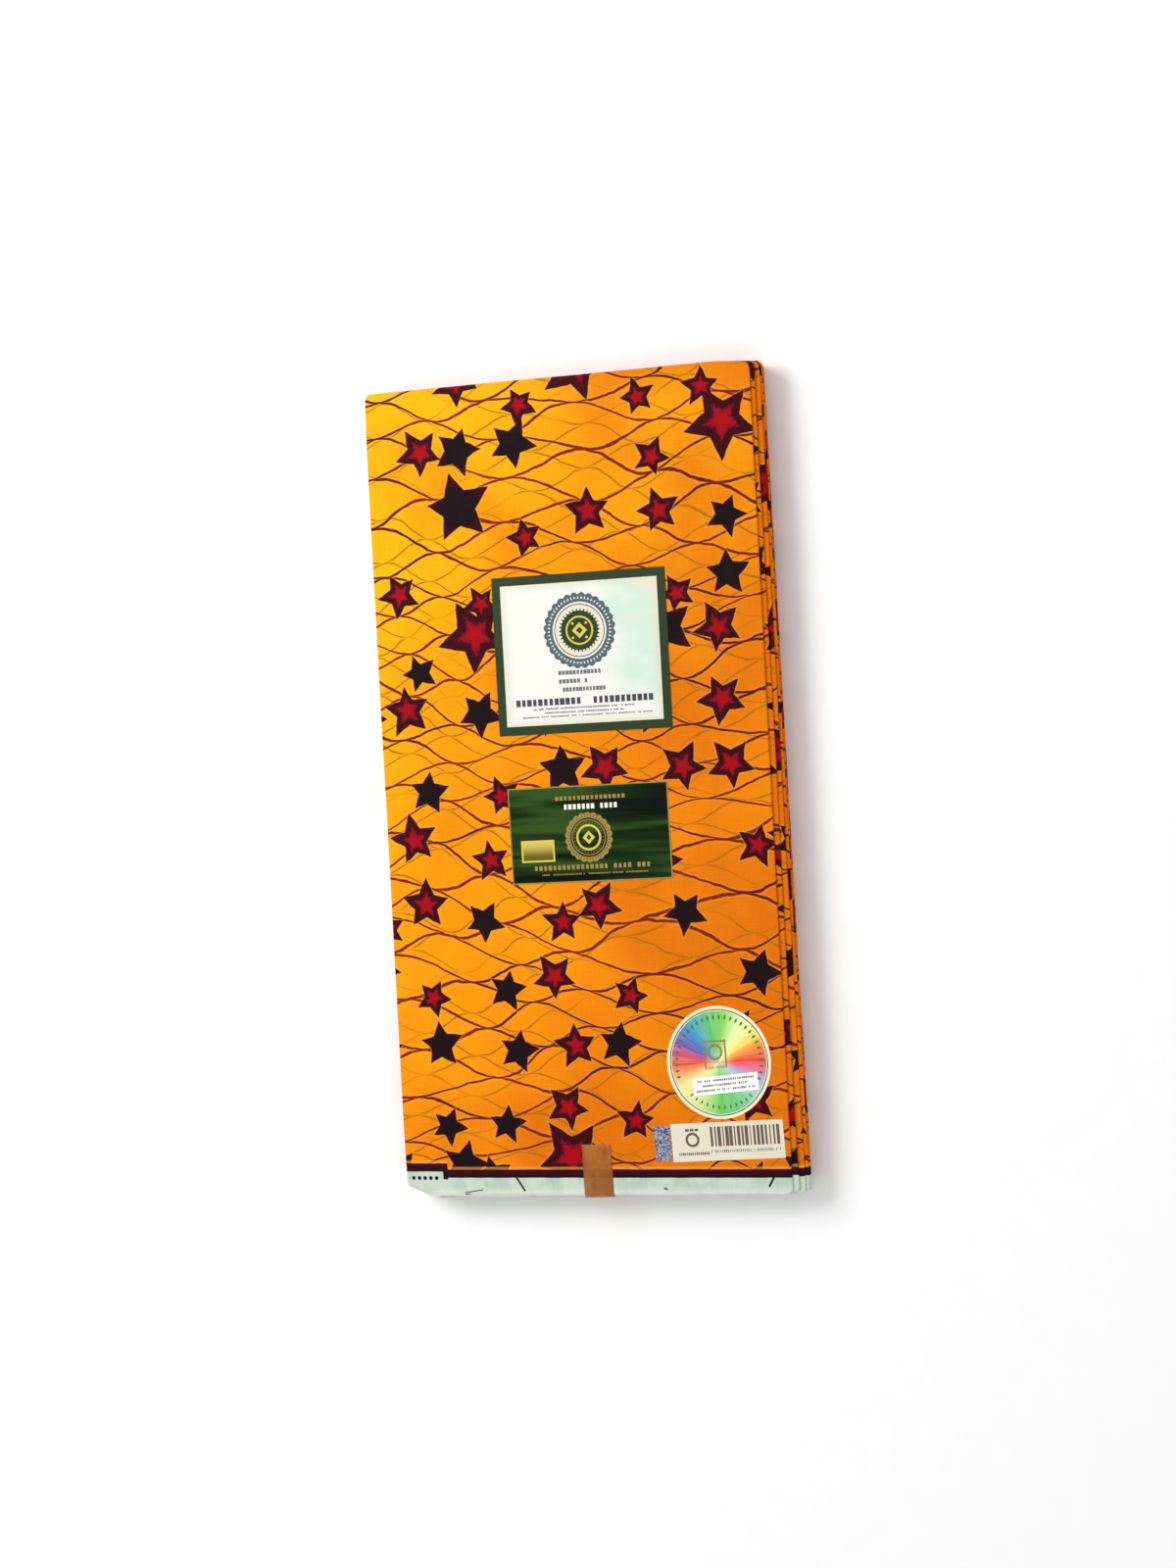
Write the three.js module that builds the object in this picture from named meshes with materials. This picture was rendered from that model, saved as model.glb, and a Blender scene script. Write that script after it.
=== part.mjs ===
// Twelve yards of wax print cotton, folded for the shop and lying flat.
//
// The cloth is folded once along its length and then laid to and fro in laps, each a third of a
// yard wide. X runs across a lap and Y along the folded width, from the selvedges at the near end
// (-Y) to the long fold at the far end (+Y). Z is up and the stack stands on Z = 0. Each lap that
// shows is a wall of its own, the hidden laps share one solid that is layered at its edges, and
// the labels and the tape lie on the top lap's own points, moved out.

import { Box3, BufferGeometry, Float32BufferAttribute, Group, MathUtils, Mesh } from "three";
import { MeshStandardMaterial, Vector3 } from "three";

// Driving dimensions in millimetres
const yard = 914.4;
const clothLength = 12 * yard;
const clothWidth = 1220;
const lapWidth = yard / 3;
const stackHeight = 28;
const wall = 1;
const gap = 0.35;
const turnedEnd = 30;
const labelThickness = 0.5;
const tapeThickness = 0.5;

// Sizes worked out from them
const foldedWidth = clothWidth / 2;
const pitch = wall + gap;
const topLapCount = 6;
const bottomLapCount = 2;
const hiddenLayerCount = (clothLength / lapWidth - topLapCount - bottomLapCount) / 2;
const left = -lapWidth / 2;
const right = lapWidth / 2;
const near = -foldedWidth / 2;
const far = foldedWidth / 2;

// How far each fold at the right stands out past the top lap's, at the far and the near end, how
// far its folds at the left lie in, and how far its near end is drawn back
const lapTable = {
  top: { outFar: 0, outNear: 0, leftIn: 0, drawnBack: 3.2 },
  second: { outFar: 3.3, outNear: 4.4, leftIn: 0.5, drawnBack: 0.6 },
  third: { outFar: 6.5, outNear: 8.8, leftIn: -0.4, drawnBack: 0 },
  bottom: { outFar: 1.6, outNear: 3.8, leftIn: 1.2, drawnBack: 1.4 },
};

// The hidden laps' reach past the top lap's outline, at shares of their height from the bottom up
const reachTable = [
  { share: 0, rightFar: 1.9, rightNear: 4.4, left: -1.1, near: -1.5, far: -1.4 },
  { share: 0.25, rightFar: 4.4, rightNear: 7.4, left: 0.2, near: -0.4, far: -0.2 },
  { share: 0.55, rightFar: 6.6, rightNear: 10.4, left: -0.5, near: 0.2, far: 0.4 },
  { share: 0.85, rightFar: 8.2, rightNear: 12.2, left: 0.6, near: -0.2, far: 0.6 },
  { share: 1, rightFar: 8, rightNear: 11.8, left: 0.1, near: -0.6, far: 0 },
];
const grooveDepth = 0.7;
const layerWander = 0.45;

// How far the top falls towards each edge, and over what distance
const fallTable = {
  left: { reach: 32, drop: 1 },
  right: { reach: 44, drop: 1.2 },
  near: { reach: 80, drop: 2 },
  far: { reach: 55, drop: 1.5 },
};

// Broad soft swells and hollows of the top
const swellTable = [
  { x: -60, y: 150, across: 70, along: 110, height: 0.35 },
  { x: 70, y: 215, across: 60, along: 70, height: -0.4 },
  { x: 40, y: 20, across: 90, along: 80, height: 0.3 },
  { x: -85, y: -60, across: 55, along: 90, height: -0.35 },
  { x: 95, y: -150, across: 60, along: 80, height: 0.3 },
  { x: -50, y: -210, across: 70, along: 60, height: 0.25 },
];

// Round corners at the far end and the near right, and a slanted one at the near left
const farCornerRadius = 4;
const nearCornerRadius = 6;
const cornerFullness = 0.7;
const slantWidth = 22;
const slantDepth = 9;
const skew = 1.5;
const longFoldTaper = 0.45;

// Stations that all laps share, so that their faces stay parallel
const xStations = [-140, -121, -107, -80, -48, -16, 16, 48, 80, 108, 132, 146];
const yInner = [-280, -225, -165, -105, -45, 15, 75, 135, 195, 250];
const yStations = [...yInner, far - farCornerRadius, far - farCornerRadius * 0.3, far];
const tuckStart = -107;
const tuckEnd = -121;
const seam = -48;
const turnSteps = 4;

// What is stuck on the top lap
const labelGap = 0.3;
const labelTable = [
  { name: "label_square", x: 12, y: 99.8, width: 136.8, height: 118.4, turn: 0, look: "paper" },
  { name: "label_oblong", x: 10.8, y: -34.7, width: 126.6, height: 72, turn: 0.3, look: "foil" },
  { name: "sticker_bars", x: 105.4, y: -264.6, width: 86.4, height: 28.4, turn: 1.9, look: "cream" },
  { name: "sticker_patch", x: 55.2, y: -266.3, width: 12.8, height: 25.8, turn: 1.9, look: "mottled" },
];
const roundSticker = { x: 102, y: -206.8, diameter: 79 };
const tape = { x: 2.7, width: 23.1, onTop: 38.4, stopsAt: 3 };
const labelCell = 18;
const discRings = 4;
const discSides = 36;

const looks = {
  print: { color: 0xf6a30f, roughness: 0.75, metalness: 0 },
  paper: { color: 0xe4eae0, roughness: 0.35, metalness: 0 },
  foil: { color: 0x1d4420, roughness: 0.25, metalness: 0.5 },
  cream: { color: 0xe9e6d6, roughness: 0.45, metalness: 0 },
  mottled: { color: 0x9aa9b4, roughness: 0.35, metalness: 0.3 },
  rainbow: { color: 0xa8c46a, roughness: 0.22, metalness: 0.7 },
  amber: { color: 0xb5702c, roughness: 0.3, metalness: 0 },
};

const { clamp, degToRad, lerp, smoothstep } = MathUtils;

// Collects the corners and triangles of one closed body
class Body {
  constructor() {
    this.points = [];
    this.triangles = [];
  }

  point(x, y, z) {
    return this.points.push([x, y, z]) - 1;
  }

  quad(a, b, c, d) {
    this.triangles.push([a, b, c], [a, c, d]);
  }

  volume() {
    let sum = 0;
    for (const corners of this.triangles) {
      const [p, q, r] = corners.map((i) => new Vector3(...this.points[i]));
      sum += p.dot(q.cross(r)) / 6;
    }
    return sum;
  }

  mesh(name, look) {
    const inward = this.volume() < 0;
    const index = this.triangles.flatMap(([a, b, c]) => (inward ? [a, c, b] : [a, b, c]));
    const geometry = new BufferGeometry();
    geometry.setAttribute("position", new Float32BufferAttribute(this.points.flat(), 3));
    geometry.setIndex(index);
    geometry.computeVertexNormals();
    const mesh = new Mesh(geometry, new MeshStandardMaterial(looks[look]));
    mesh.name = name;
    return mesh;
  }
}

// A fall that starts level and steepens to the edge
function edgeFall(distance, { reach, drop }) {
  const share = clamp(1 - distance / reach, 0, 1);
  return drop * share * share;
}

// The top's height above or below a level stack
function crown(x, y) {
  const falls =
    edgeFall(x - left, fallTable.left) +
    edgeFall(right + lapTable.third.outNear - x, fallTable.right) +
    edgeFall(y - near, fallTable.near) +
    edgeFall(far - y, fallTable.far);
  const swells = swellTable.reduce((sum, swell) => {
    const across = (x - swell.x) / swell.across;
    const along = (y - swell.y) / swell.along;
    return sum + swell.height * Math.exp(-across * across - along * along);
  }, 0);
  return swells - falls;
}

// Below the turned end at the left, every lap lies one lap lower
function tuck(x) {
  return pitch * (1 - smoothstep(x, tuckEnd, tuckStart));
}

// The middle of a lap's wall, counted down from the top lap, which is level 0
function topLevel(level, x, y) {
  return stackHeight - wall / 2 - level * pitch + crown(x, y);
}

function tuckedLevel(level, x, y) {
  return topLevel(level, x, y) - tuck(x);
}

// The same, counted down from the lap that lies on the bottom one
function bottomLevel(level) {
  return wall / 2 + (1 - level) * pitch;
}

function shareAlong(y) {
  return clamp((y - near) / foldedWidth, 0, 1);
}

// The inset of a round corner at a share of the way round it
function cornerInset(share, radius) {
  const part = clamp(share, 0, 1);
  return radius * cornerFullness * (1 - Math.sqrt(1 - part * part));
}

function farCornerInset(y) {
  return cornerInset((y - far + farCornerRadius) / farCornerRadius, farCornerRadius);
}

// The near end of a lap at x
function nearEnd(x, rightEdge, drawnBack) {
  const slant = slantDepth * clamp(1 - (x - left) / slantWidth, 0, 1);
  const round = cornerInset((x - rightEdge + nearCornerRadius) / nearCornerRadius, nearCornerRadius);
  return near + drawnBack + (skew * x) / right + slant + round;
}

// A closed wall from sections, each a list of { x, y, z, nx, ny, nz, half }: a point of the wall's
// middle, its normal, and half the wall's thickness there
function sweptWall(sections) {
  const body = new Body();
  const face = (sign) =>
    sections.map((section) =>
      section.map((p) => {
        const out = sign * p.half;
        return body.point(p.x + p.nx * out, p.y + p.ny * out, p.z + p.nz * out);
      })
    );
  const outer = face(1);
  const inner = face(-1);
  const lastRow = sections.length - 1;
  const last = sections[0].length - 1;
  for (let j = 0; j < lastRow; j++) {
    const [o, p, m, n] = [outer[j], outer[j + 1], inner[j], inner[j + 1]];
    for (let i = 0; i < last; i++) {
      // Every lap has the same diagonals, whichever way it runs
      if (sections[j][i + 1].x > sections[j][i].x) {
        body.quad(o[i], o[i + 1], p[i + 1], p[i]);
        body.quad(m[i], n[i], n[i + 1], m[i + 1]);
      } else {
        body.quad(o[i + 1], p[i + 1], p[i], o[i]);
        body.quad(m[i + 1], m[i], n[i], n[i + 1]);
      }
    }
    body.quad(o[0], p[0], n[0], m[0]);
    body.quad(p[last], o[last], m[last], n[last]);
  }
  for (let i = 0; i < last; i++) {
    body.quad(outer[0][i + 1], outer[0][i], inner[0][i], inner[0][i + 1]);
    const [o, n] = [outer[lastRow], inner[lastRow]];
    body.quad(o[i], o[i + 1], n[i + 1], n[i]);
  }
  return body;
}

// A level stretch of a lap, from one x to another, with a free end where one is named
function run(level, from, to, freeEnd) {
  const clear = pitch;
  return (heightAt) => {
    const [low, high] = [Math.min(from, to) + clear, Math.max(from, to) - clear];
    const xs = xStations.filter((x) => x > low && x < high);
    if (freeEnd === "start") xs.push(from);
    if (freeEnd === "end") xs.push(to);
    xs.sort((a, b) => (from < to ? a - b : b - a));
    return xs.map((x) => ({ x, z: heightAt(level, x), angle: from < to ? 90 : -90 }));
  };
}

// A half-round fold at an edge, below a level, swept from one angle to another
function fold(level, edge, from, to) {
  const radius = pitch / 2;
  return (heightAt) => {
    const centre = edge - Math.sign(edge) * radius;
    const height = heightAt(level, centre) - radius;
    return Array.from({ length: turnSteps + 1 }, (_, k) => {
      const angle = lerp(from, to, k / turnSteps);
      const x = centre + radius * Math.cos(degToRad(angle));
      const z = height + radius * Math.sin(degToRad(angle));
      return { x, z, angle: to < from ? angle : angle + 180 };
    });
  };
}

// A lap and its folds as one wall, from the near end to the far end
function lapWall(name, row, levelAt, stepsAt) {
  const sections = [near, ...yStations].map((y) => {
    const inset = farCornerInset(y);
    const edges = {
      left: left + row.leftIn + inset,
      right: right + lerp(row.outNear, row.outFar, shareAlong(y)) - inset,
    };
    const half = (wall / 2) * (y === far ? longFoldTaper : 1);
    const line = stepsAt(edges).flatMap((step) => step((level, x) => levelAt(level, x, y)));
    return line.map(({ x, z, angle }) => {
      const [nx, nz] = [Math.cos(degToRad(angle)), Math.sin(degToRad(angle))];
      const place = y === near ? nearEnd(x, edges.right, row.drawnBack) : y;
      return { x, y: place, z, nx, ny: 0, nz, half };
    });
  });
  return sweptWall(sections).mesh(name, "print");
}

// The turned end, the lap that carries the labels, its fold, and half the lap below
function topLap() {
  const levelAt = (level, x, y) => topLevel(level, x, y);
  return lapWall("top_lap", lapTable.top, levelAt, (edges) => [
    run(1, edges.left + turnedEnd, edges.left, "start"),
    fold(0, edges.left, 270, 90),
    run(0, edges.left, edges.right),
    fold(0, edges.right, 90, -90),
    run(1, edges.right, seam + gap / 2, "end"),
  ]);
}

function secondLap() {
  return lapWall("second_lap", lapTable.second, tuckedLevel, (edges) => [
    run(1, seam - gap / 2, edges.left, "start"),
    fold(1, edges.left, 90, 270),
    run(2, edges.left, edges.right),
    fold(2, edges.right, 90, -90),
    run(3, edges.right, seam + gap / 2, "end"),
  ]);
}

function thirdLap() {
  return lapWall("third_lap", lapTable.third, tuckedLevel, (edges) => [
    run(3, seam - gap / 2, edges.left, "start"),
    fold(3, edges.left, 90, 270),
    run(4, edges.left, edges.right),
    fold(4, edges.right, 90, -90),
    run(5, edges.right, edges.left, "end"),
  ]);
}

function bottomLap() {
  return lapWall("bottom_lap", lapTable.bottom, bottomLevel, (edges) => [
    run(0, edges.left, edges.right, "start"),
    fold(0, edges.right, 90, -90),
    run(1, edges.right, edges.left, "end"),
  ]);
}

// A row of the reach table, worked out between its rows
function reachAt(share) {
  const above = Math.max(1, reachTable.findIndex((row) => row.share >= share));
  const [low, high] = [reachTable[above - 1], reachTable[above]];
  const part = (share - low.share) / (high.share - low.share);
  return Object.fromEntries(Object.keys(low).map((key) => [key, lerp(low[key], high[key], part)]));
}

// The outline's rings up the edges: each layer is a groove and a rounded edge of two rings
function layerRings() {
  const rings = [];
  for (let layer = 0; layer < hiddenLayerCount; layer++) {
    const wander = layerWander * Math.sin(2.4 * layer);
    rings.push({ share: layer / hiddenLayerCount, inset: grooveDepth });
    rings.push({ share: (layer + 0.3) / hiddenLayerCount, inset: -wander });
    rings.push({ share: (layer + 0.7) / hiddenLayerCount, inset: -wander });
  }
  rings.push({ share: 1, inset: grooveDepth });
  return rings;
}

// The laps between, as one rounded solid
function innerLaps() {
  const body = new Body();
  const xs = [left, ...xStations, right];
  const ys = [near, ...yStations];
  const [lastX, lastY] = [xs.length - 1, ys.length - 1];
  const bottom = bottomLapCount * pitch;
  const topAt = (x, y) => tuckedLevel(topLapCount, x, y) + wall / 2;

  const placeAt = (i, j, { share, inset }) => {
    const reach = reachAt(share);
    const cornerIn = farCornerInset(ys[j]);
    const rightEdge = right + lerp(reach.rightNear, reach.rightFar, shareAlong(ys[j])) - cornerIn;
    let [x, y] = [xs[i], ys[j]];
    if (i === 0) x = left - reach.left + inset + cornerIn;
    if (i === lastX) x = rightEdge - inset;
    if (j === 0) y = nearEnd(x, rightEdge, inset - reach.near);
    if (j > yInner.length) y += reach.far - inset;
    return body.point(x, y, lerp(bottom, topAt(x, ys[j]), share));
  };

  const rim = [];
  for (let i = 0; i <= lastX; i++) rim.push([i, 0]);
  for (let j = 1; j <= lastY; j++) rim.push([lastX, j]);
  for (let i = lastX - 1; i >= 0; i--) rim.push([i, lastY]);
  for (let j = lastY - 1; j >= 1; j--) rim.push([0, j]);

  const rings = layerRings().map((ring) => rim.map(([i, j]) => placeAt(i, j, ring)));
  for (let k = 0; k + 1 < rings.length; k++) {
    rim.forEach((_, a) => {
      const b = (a + 1) % rim.length;
      body.quad(rings[k][a], rings[k][b], rings[k + 1][b], rings[k + 1][a]);
    });
  }

  const capGrid = (ring, share) =>
    ys.map((_, j) =>
      xs.map((_, i) => {
        const onRim = rim.findIndex(([a, b]) => a === i && b === j);
        return onRim < 0 ? placeAt(i, j, { share, inset: 0 }) : ring[onRim];
      })
    );
  const top = capGrid(rings.at(-1), 1);
  const base = capGrid(rings[0], 0);
  for (let j = 0; j < lastY; j++) {
    for (let i = 0; i < lastX; i++) {
      body.quad(top[j][i], top[j][i + 1], top[j + 1][i + 1], top[j + 1][i]);
      body.quad(base[j][i], base[j + 1][i], base[j + 1][i + 1], base[j][i + 1]);
    }
  }
  return body.mesh("inner_laps", "print");
}

// The top lap's upper face at a point, from the corners and diagonals of its own facets
function panelHeight(x, y) {
  const xs = [left, ...xStations, right];
  const ys = [near + lapTable.top.drawnBack, ...yStations];
  const i = clamp(xs.findIndex((station) => station > x) - 1, 0, xs.length - 2);
  const j = clamp(ys.findIndex((station) => station > y) - 1, 0, ys.length - 2);
  const s = (x - xs[i]) / (xs[i + 1] - xs[i]);
  const t = (y - ys[j]) / (ys[j + 1] - ys[j]);
  const corner = (a, b) => topLevel(0, xs[i + a], j + b === 0 ? near : ys[j + b]) + wall / 2;
  const [start, end] = [corner(0, 0), corner(1, 1)];
  const side = s > t ? corner(1, 0) : corner(0, 1);
  return s > t
    ? start + s * (side - start) + t * (end - side)
    : start + t * (side - start) + s * (end - side);
}

// A thin plate on the top lap, from flat points, their triangles and the loop round them
function platePart(name, look, flat, triangles, rim) {
  const body = new Body();
  const lower = flat.map(([x, y]) => body.point(x, y, panelHeight(x, y) + labelGap));
  const upper = flat.map(([x, y]) => body.point(x, y, panelHeight(x, y) + labelGap + labelThickness));
  for (const [a, b, c] of triangles) {
    body.triangles.push([upper[a], upper[b], upper[c]], [lower[a], lower[c], lower[b]]);
  }
  rim.forEach((a, k) => {
    const b = rim[(k + 1) % rim.length];
    body.quad(lower[a], lower[b], upper[b], upper[a]);
  });
  return body.mesh(name, look);
}

function oblongLabel({ name, x, y, width, height, turn, look }) {
  const columns = Math.ceil(width / labelCell);
  const rows = Math.ceil(height / labelCell);
  const [cos, sin] = [Math.cos(degToRad(turn)), Math.sin(degToRad(turn))];
  const index = (i, j) => j * (columns + 1) + i;
  const flat = [];
  for (let j = 0; j <= rows; j++) {
    for (let i = 0; i <= columns; i++) {
      const [u, v] = [width * (i / columns - 0.5), height * (j / rows - 0.5)];
      flat.push([x + u * cos - v * sin, y + u * sin + v * cos]);
    }
  }
  const triangles = [];
  for (let j = 0; j < rows; j++) {
    for (let i = 0; i < columns; i++) {
      triangles.push([index(i, j), index(i + 1, j), index(i + 1, j + 1)]);
      triangles.push([index(i, j), index(i + 1, j + 1), index(i, j + 1)]);
    }
  }
  const rim = [];
  for (let i = 0; i < columns; i++) rim.push(index(i, 0));
  for (let j = 0; j < rows; j++) rim.push(index(columns, j));
  for (let i = columns; i > 0; i--) rim.push(index(i, rows));
  for (let j = rows; j > 0; j--) rim.push(index(0, j));
  return platePart(name, look, flat, triangles, rim);
}

function discLabel({ x, y, diameter }) {
  const flat = [[x, y]];
  const triangles = [];
  for (let ring = 1; ring <= discRings; ring++) {
    const radius = (diameter / 2) * (ring / discRings);
    for (let k = 0; k < discSides; k++) {
      const angle = (2 * Math.PI * k) / discSides;
      flat.push([x + radius * Math.cos(angle), y + radius * Math.sin(angle)]);
    }
  }
  const index = (ring, k) => 1 + (ring - 1) * discSides + (k % discSides);
  for (let k = 0; k < discSides; k++) {
    triangles.push([0, index(1, k), index(1, k + 1)]);
    for (let ring = 1; ring < discRings; ring++) {
      triangles.push([index(ring, k), index(ring + 1, k), index(ring + 1, k + 1)]);
      triangles.push([index(ring, k), index(ring + 1, k + 1), index(ring, k + 1)]);
    }
  }
  const rim = Array.from({ length: discSides }, (_, k) => index(discRings, k));
  return platePart("sticker_round", "rainbow", flat, triangles, rim);
}

// Tape from the top over the near ends and down them, stopping just above the surface
function closingTape() {
  const half = tapeThickness / 2;
  const out = labelGap + half;
  const longest = Math.max(...reachTable.map((row) => row.near)) + layerWander;
  const face = near - longest - out;
  const edge = near + lapTable.top.drawnBack;
  const sections = [-0.5, 0, 0.5].map((share) => {
    const x = tape.x + tape.width * share;
    const onTop = [near + tape.onTop, yInner[0], lerp(yInner[0], edge, 0.5), edge];
    const line = onTop.map((y) => ({ y, z: panelHeight(x, y) + out, angle: 90 }));
    const { z } = line.at(-1);
    line.push({ y: face + 1.4, z: z - 0.25, angle: 100 });
    line.push({ y: face + 0.4, z: z - 0.7, angle: 135 });
    line.push({ y: face, z: z - 1.7, angle: 175 });
    line.push({ y: face, z: z / 2, angle: 180 });
    line.push({ y: face, z: tape.stopsAt, angle: 180 });
    return line.map(({ y, z: height, angle }) => {
      const [ny, nz] = [Math.cos(degToRad(angle)), Math.sin(degToRad(angle))];
      return { x, y, z: height, nx: 0, ny, nz, half };
    });
  });
  return sweptWall(sections).mesh("closing_tape", "amber");
}

const stack = new Group();
stack.add(topLap(), secondLap(), thirdLap(), innerLaps(), bottomLap());
stack.add(...labelTable.map(oblongLabel), discLabel(roundSticker), closingTape());

// The part's origin is under the middle of its box
const middle = new Box3().setFromObject(stack).getCenter(new Vector3());
stack.position.set(-middle.x, -middle.y, 0);

const foldedCloth = new Group();
foldedCloth.add(stack);

export default foldedCloth;
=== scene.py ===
import math

import bpy
import numpy as np
from mathutils import Matrix, Vector


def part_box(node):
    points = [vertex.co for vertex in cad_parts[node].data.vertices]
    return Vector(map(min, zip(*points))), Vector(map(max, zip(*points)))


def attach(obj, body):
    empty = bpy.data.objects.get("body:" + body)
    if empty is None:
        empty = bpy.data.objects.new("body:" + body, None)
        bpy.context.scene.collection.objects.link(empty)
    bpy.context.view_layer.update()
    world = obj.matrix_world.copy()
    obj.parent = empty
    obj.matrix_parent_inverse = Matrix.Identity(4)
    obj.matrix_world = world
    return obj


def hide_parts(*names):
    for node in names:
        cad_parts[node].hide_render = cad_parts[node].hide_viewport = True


# Twelve yards of wax print cotton, folded and lying flat, with its labels and tape.
# Sizes here are in millimetres, in the folded cloth's own frame: x across a lap, y along the
# folded width from the selvedges (near, -y) to the long fold (far, +y), z up from the surface.

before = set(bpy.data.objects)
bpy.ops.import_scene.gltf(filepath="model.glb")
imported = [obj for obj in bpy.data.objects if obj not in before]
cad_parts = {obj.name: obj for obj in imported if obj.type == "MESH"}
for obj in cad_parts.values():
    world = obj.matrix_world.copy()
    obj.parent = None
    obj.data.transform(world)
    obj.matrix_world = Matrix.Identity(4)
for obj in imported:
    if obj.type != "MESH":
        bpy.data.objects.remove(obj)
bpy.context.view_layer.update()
panelLow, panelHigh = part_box("top_lap")
mm = 0.001
print("frame loaded:", len(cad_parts), "nodes")


# The folded cloth

cloth = {
    "yard": 914.4,
    "width": 1220.0,  # selvedge to selvedge
    "laps": 36,
    "height": 28.0,  # 72 pressed layers
    "thickness": 0.26,  # one layer of cotton
    "turnedEnd": 30.0,  # the cut end, turned under at the left of the top lap
    "sink": 1.4,  # how much the hidden middles lie below the top layer's hollows
    "looseness": 0.24,  # how unevenly the laps are pressed together
}
lapWidth = cloth["yard"] / 3
left, right = -lapWidth / 2, lapWidth / 2
near, far = -cloth["width"] / 4, cloth["width"] / 4
pitch = cloth["height"] / cloth["laps"]  # one lap is two layers
layer = pitch / 2

frameX = (panelLow[0] + panelHigh[0]) / 2
frameY = panelHigh[1] - far * mm


def toFrame(points):
    return np.asarray(points, float) * mm + np.array([frameX, frameY, 0.0])


# how far the first folds at the right stand out past the top lap's
fanTable = [
    {"outFar": 0.0, "outNear": 0.0},
    {"outFar": 3.3, "outNear": 4.4},
    {"outFar": 6.5, "outNear": 8.8},
]
# the reach of the laps between, at shares of their height from the bottom up
reachTable = [
    {"share": 0.0, "rightFar": 1.9, "rightNear": 4.4, "left": -1.1, "far": -1.4},
    {"share": 0.25, "rightFar": 4.4, "rightNear": 7.4, "left": 0.2, "far": -0.2},
    {"share": 0.55, "rightFar": 6.6, "rightNear": 10.4, "left": -0.5, "far": 0.4},
    {"share": 0.85, "rightFar": 8.2, "rightNear": 12.2, "left": 0.6, "far": 0.6},
    {"share": 1.0, "rightFar": 8.0, "rightNear": 11.8, "left": 0.1, "far": 0.0},
]
lastFan = {"outFar": 1.6, "outNear": 3.8}
firstLefts = (0.0, -0.5, 0.4)  # how far the first folds at the left stand out
firstInnerFold, lastInnerFold = 4, 17
# the selvedges' straight runs: where each starts at the left, and its change towards the right
selvedgeRuns = {"top": (-303.3, -1.0), "under": (-304.9, 0.3), "lower": -307.4}
hiddenFrom = {"sides": (14, 44), "near": (16, 50), "far": (10, 40)}  # where the sag sets in
falls = {  # how far the top falls to each edge, and over what distance
    "left": (32.0, 1.0),
    "right": (44.0, 1.2),
    "near": (80.0, 2.0),
    "far": (55.0, 1.5),
}
swells = [  # x, y, half width across, half width along, height
    (-60, 150, 70, 110, 0.35),
    (70, 215, 60, 70, -0.4),
    (40, 20, 90, 80, 0.3),
    (-85, -60, 55, 90, -0.35),
    (95, -150, 60, 80, 0.3),
    (-50, -210, 70, 60, 0.25),
]
creases = [  # x, y, direction, length, width, depth, bow: soft troughs, and ridges where negative
    (-118, 236, 62, 96, 6.0, 0.7, 6),
    (-94, 248, 54, 74, 5.0, -0.42, 4),
    (118, 262, 118, 78, 5.0, 0.63, -5),
    (132, 150, 84, 110, 6.0, 0.56, 7),
    (-128, 60, 96, 150, 7.0, 0.63, -8),
    (-112, 20, 84, 96, 6.0, -0.31, 6),
    (-100, -118, 38, 104, 6.5, 0.77, 9),
    (-80, -132, 46, 78, 5.0, -0.42, 6),
    (20, -128, 8, 150, 8.0, 0.56, 10),
    (-36, -262, 96, 56, 5.0, 0.7, 3),
    (34, -268, 82, 48, 5.0, 0.63, -3),
    (-128, -268, 40, 56, 5.0, 0.7, 3),
    (66, -64, 165, 120, 9.0, 0.49, -12),
    (-20, 262, 4, 150, 7.5, 0.56, 8),
    (108, -20, 72, 90, 6.5, 0.49, -6),
]
corners = {
    "farRadius": 6.0,
    "nearRadius": 6.0,
    "fullness": 0.7,  # how much of a corner's radius is taken off it
    "slantWidth": 22.0,  # the near left corner, cut back aslant
    "slantDepth": 9.0,
    "farDrop": 2.2,  # how far the long fold gives way at the right
    "dropFrom": 30.0,
    "nearBlend": 42.0,  # how far the ends' own outlines reach into the laps
    "farBlend": 30.0,
}


def smooth(value, low, high):
    share = np.clip((value - low) / (high - low), 0, 1)
    return share * share * (3 - 2 * share)


def wander(seed, place, size):
    # a slow, smooth drift that differs from one fold to the next
    a, b = math.sin(seed * 12.9898) * 43.7, math.sin(seed * 78.233) * 31.1
    return size * (0.6 * np.sin(place / 61.0 + a) + 0.4 * np.sin(place / 27.0 + b))


def crown(x, y):
    x, y = np.asarray(x, float), np.asarray(y, float)
    fall = 0.0
    outer = right + fanTable[-1]["outNear"]
    for side, distance in (("left", x - left), ("right", outer - x), ("near", y - near), ("far", far - y)):
        reach, drop = falls[side]
        fall = fall + drop * np.clip(1 - distance / reach, 0, 1) ** 2
    lift = 0.0
    for sx, sy, across, along, height in swells:
        lift = lift + height * np.exp(-(((x - sx) / across) ** 2) - ((y - sy) / along) ** 2)
    return lift - fall


def creased(x, y):
    # the creases of the top, each a bowed trough that fades at both ends
    total = 0.0
    for cx, cy, turn, length, width, depth, bow in creases:
        c, s = math.cos(math.radians(turn)), math.sin(math.radians(turn))
        along = ((x - cx) * c + (y - cy) * s) / (length / 2)
        across = -(x - cx) * s + (y - cy) * c - bow * (1 - along**2)
        total = total - depth * np.exp(-((across / width) ** 2)) * np.clip(1 - along**2, 0, 1) ** 2
    ripple = np.sin(x / 19.0 + np.sin(y / 43.0) * 1.7) * np.sin(y / 23.0 + 0.9 * np.sin(x / 37.0))
    return total + 0.1 * ripple


def topHeight(x, y, creaseShare=1.0):
    # the upper face of the top layer
    return cloth["height"] - layer / 2 + cloth["thickness"] / 2 + crown(x, y) + creaseShare * creased(x, y)


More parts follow.
